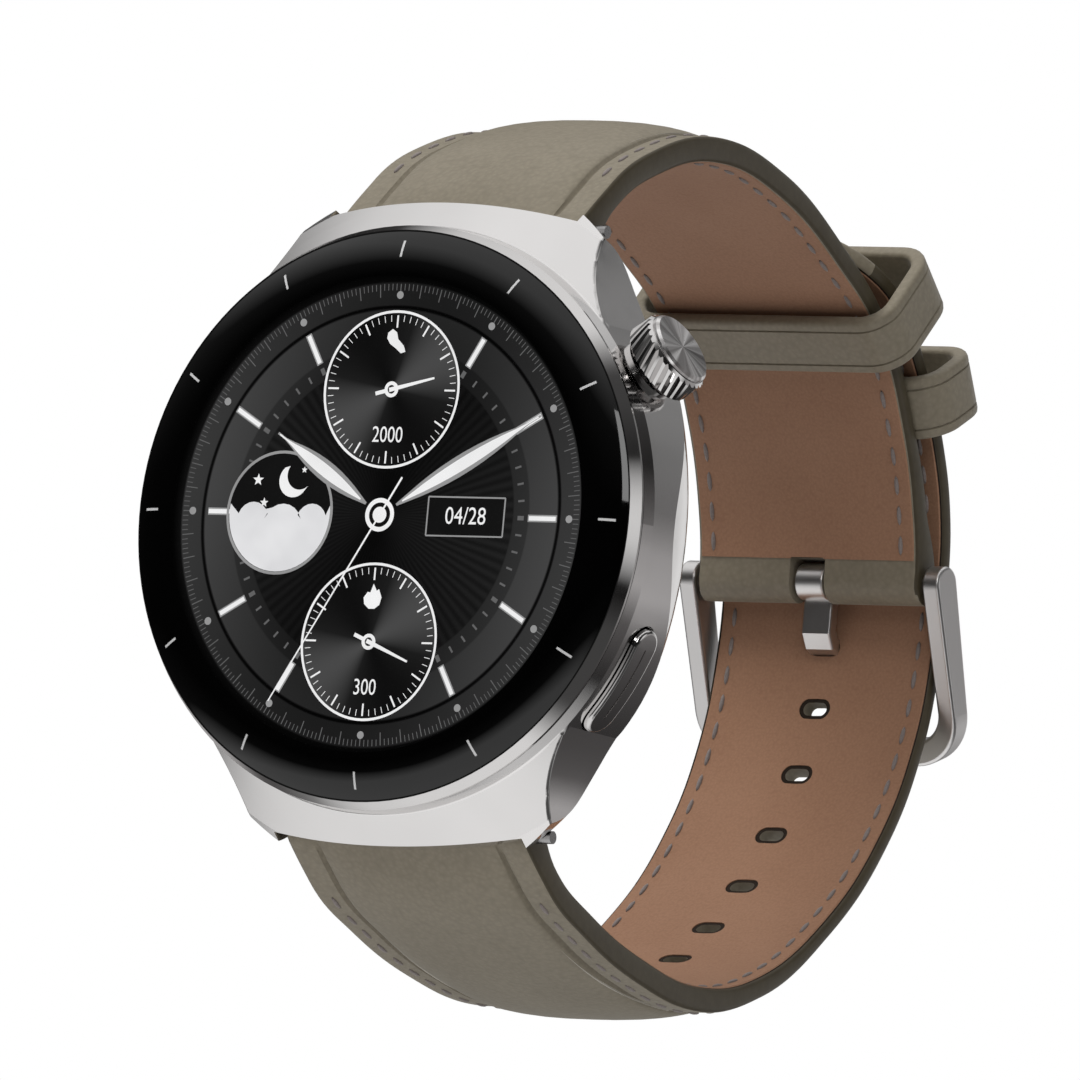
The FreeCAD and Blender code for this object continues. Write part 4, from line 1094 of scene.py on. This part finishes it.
toRight = addNode(worldTree, "MapRange", {"From Min": 0.32, "From Max": 0.62, "To Max": 0.93,
        "interpolation_type": "SMOOTHSTEP"}, {"Value": skyParts.outputs["X"]})
notBehind = addNode(worldTree, "Math", {"operation": "SUBTRACT", 0: 1.0}, {1: behind})
sideOnly = addNode(worldTree, "Math", {"operation": "MULTIPLY"}, {0: toRight, 1: notBehind})
rightSky = addNode(worldTree, "Mix", {"data_type": "RGBA", 7: linearColour("#1c1b1b")},
        {0: sideOnly, 6: wristSky.outputs[2]})
backLobe = addNode(worldTree, "VectorMath", {"operation": "DOT_PRODUCT", 1: (0.05, 0.99, 0.12)},
        {0: skyCoords.outputs["Generated"]})
backShare = addNode(worldTree, "MapRange", {"From Min": 0.87, "From Max": 1.0, "To Max": 0.8},
        {"Value": backLobe.outputs["Value"]})
rightLobe = addNode(worldTree, "VectorMath", {"operation": "DOT_PRODUCT", 1: (0.96, 0.25, 0.1)},
        {0: skyCoords.outputs["Generated"]})
rightShare = addNode(worldTree, "MapRange", {"From Min": 0.93, "From Max": 0.985, "To Max": 0.9},
        {"Value": rightLobe.outputs["Value"]})
lobes = addNode(worldTree, "Math", {"operation": "MAXIMUM"}, {0: backShare, 1: rightShare})
litSky = addNode(worldTree, "Mix", {"data_type": "RGBA", 7: linearColour("#ffffff")},
        {0: lobes, 6: rightSky.outputs[2]})
studioLight = addNode(worldTree, "Background", {"Strength": 1.0}, {"Color": litSky.outputs[2]})
whiteBackdrop = addNode(worldTree, "Background", {"Color": (1, 1, 1, 1), "Strength": 1.0})
seen = addNode(worldTree, "LightPath")
chosen = addNode(worldTree, "MixShader", links={0: seen.outputs["Is Camera Ray"], 1: studioLight,
        2: whiteBackdrop})
addNode(worldTree, "OutputWorld", links={"Surface": chosen})


def softbox(name, place, aim, size, watts, mirrored=True):
    light = bpy.data.lights.new(name, "AREA")
    light.shape = "RECTANGLE"
    light.size, light.size_y = size
    light.energy = watts
    lamp = bpy.data.objects.new(name, light)
    lamp.location = place
    lamp.rotation_euler = (Vector(aim) - Vector(place)).to_track_quat("-Z", "Y").to_euler()
    lamp.visible_glossy = mirrored
    bpy.context.scene.collection.objects.link(lamp)


middle = (0.0, 0.02, 0.0)
softbox("top_light", (-0.25, -0.2, 0.55), middle, (0.45, 0.3), 2.9, False)
softbox("front_fill", (0.45, -0.7, 0.3), middle, (0.2, 0.3), 0.9)
softbox("wrist_light", (0.32, -0.2, 0.3), (0.0, 0.045, 0.0), (0.15, 0.15), 0.4, False)

view = {"target": (0.01032, -0.00461, -0.00079), "azimuth": 32.16, "elevation": -6.13, "distance": 3.0,
        "lens": 1307.0, "roll": 5.17}
azimuth, elevation = math.radians(view["azimuth"]), math.radians(view["elevation"])
back = Vector((math.sin(azimuth) * math.cos(elevation), -math.cos(azimuth) * math.cos(elevation),
        math.sin(elevation)))
cameraData = bpy.data.cameras.new("camera")
cameraData.lens = view["lens"]
cameraData.sensor_width = 36.0
cameraData.clip_end = 20.0
camera = bpy.data.objects.new("camera", cameraData)
camera.location = Vector(view["target"]) + back * view["distance"]
camera.rotation_mode = "QUATERNION"
roll = Quaternion((0, 0, 1), math.radians(view["roll"]))
camera.rotation_quaternion = (-back).to_track_quat("-Z", "Y") @ roll
bpy.context.scene.collection.objects.link(camera)
bpy.context.scene.camera = camera
bpy.context.scene.view_settings.view_transform = "Standard"
print("stage, light and camera set")
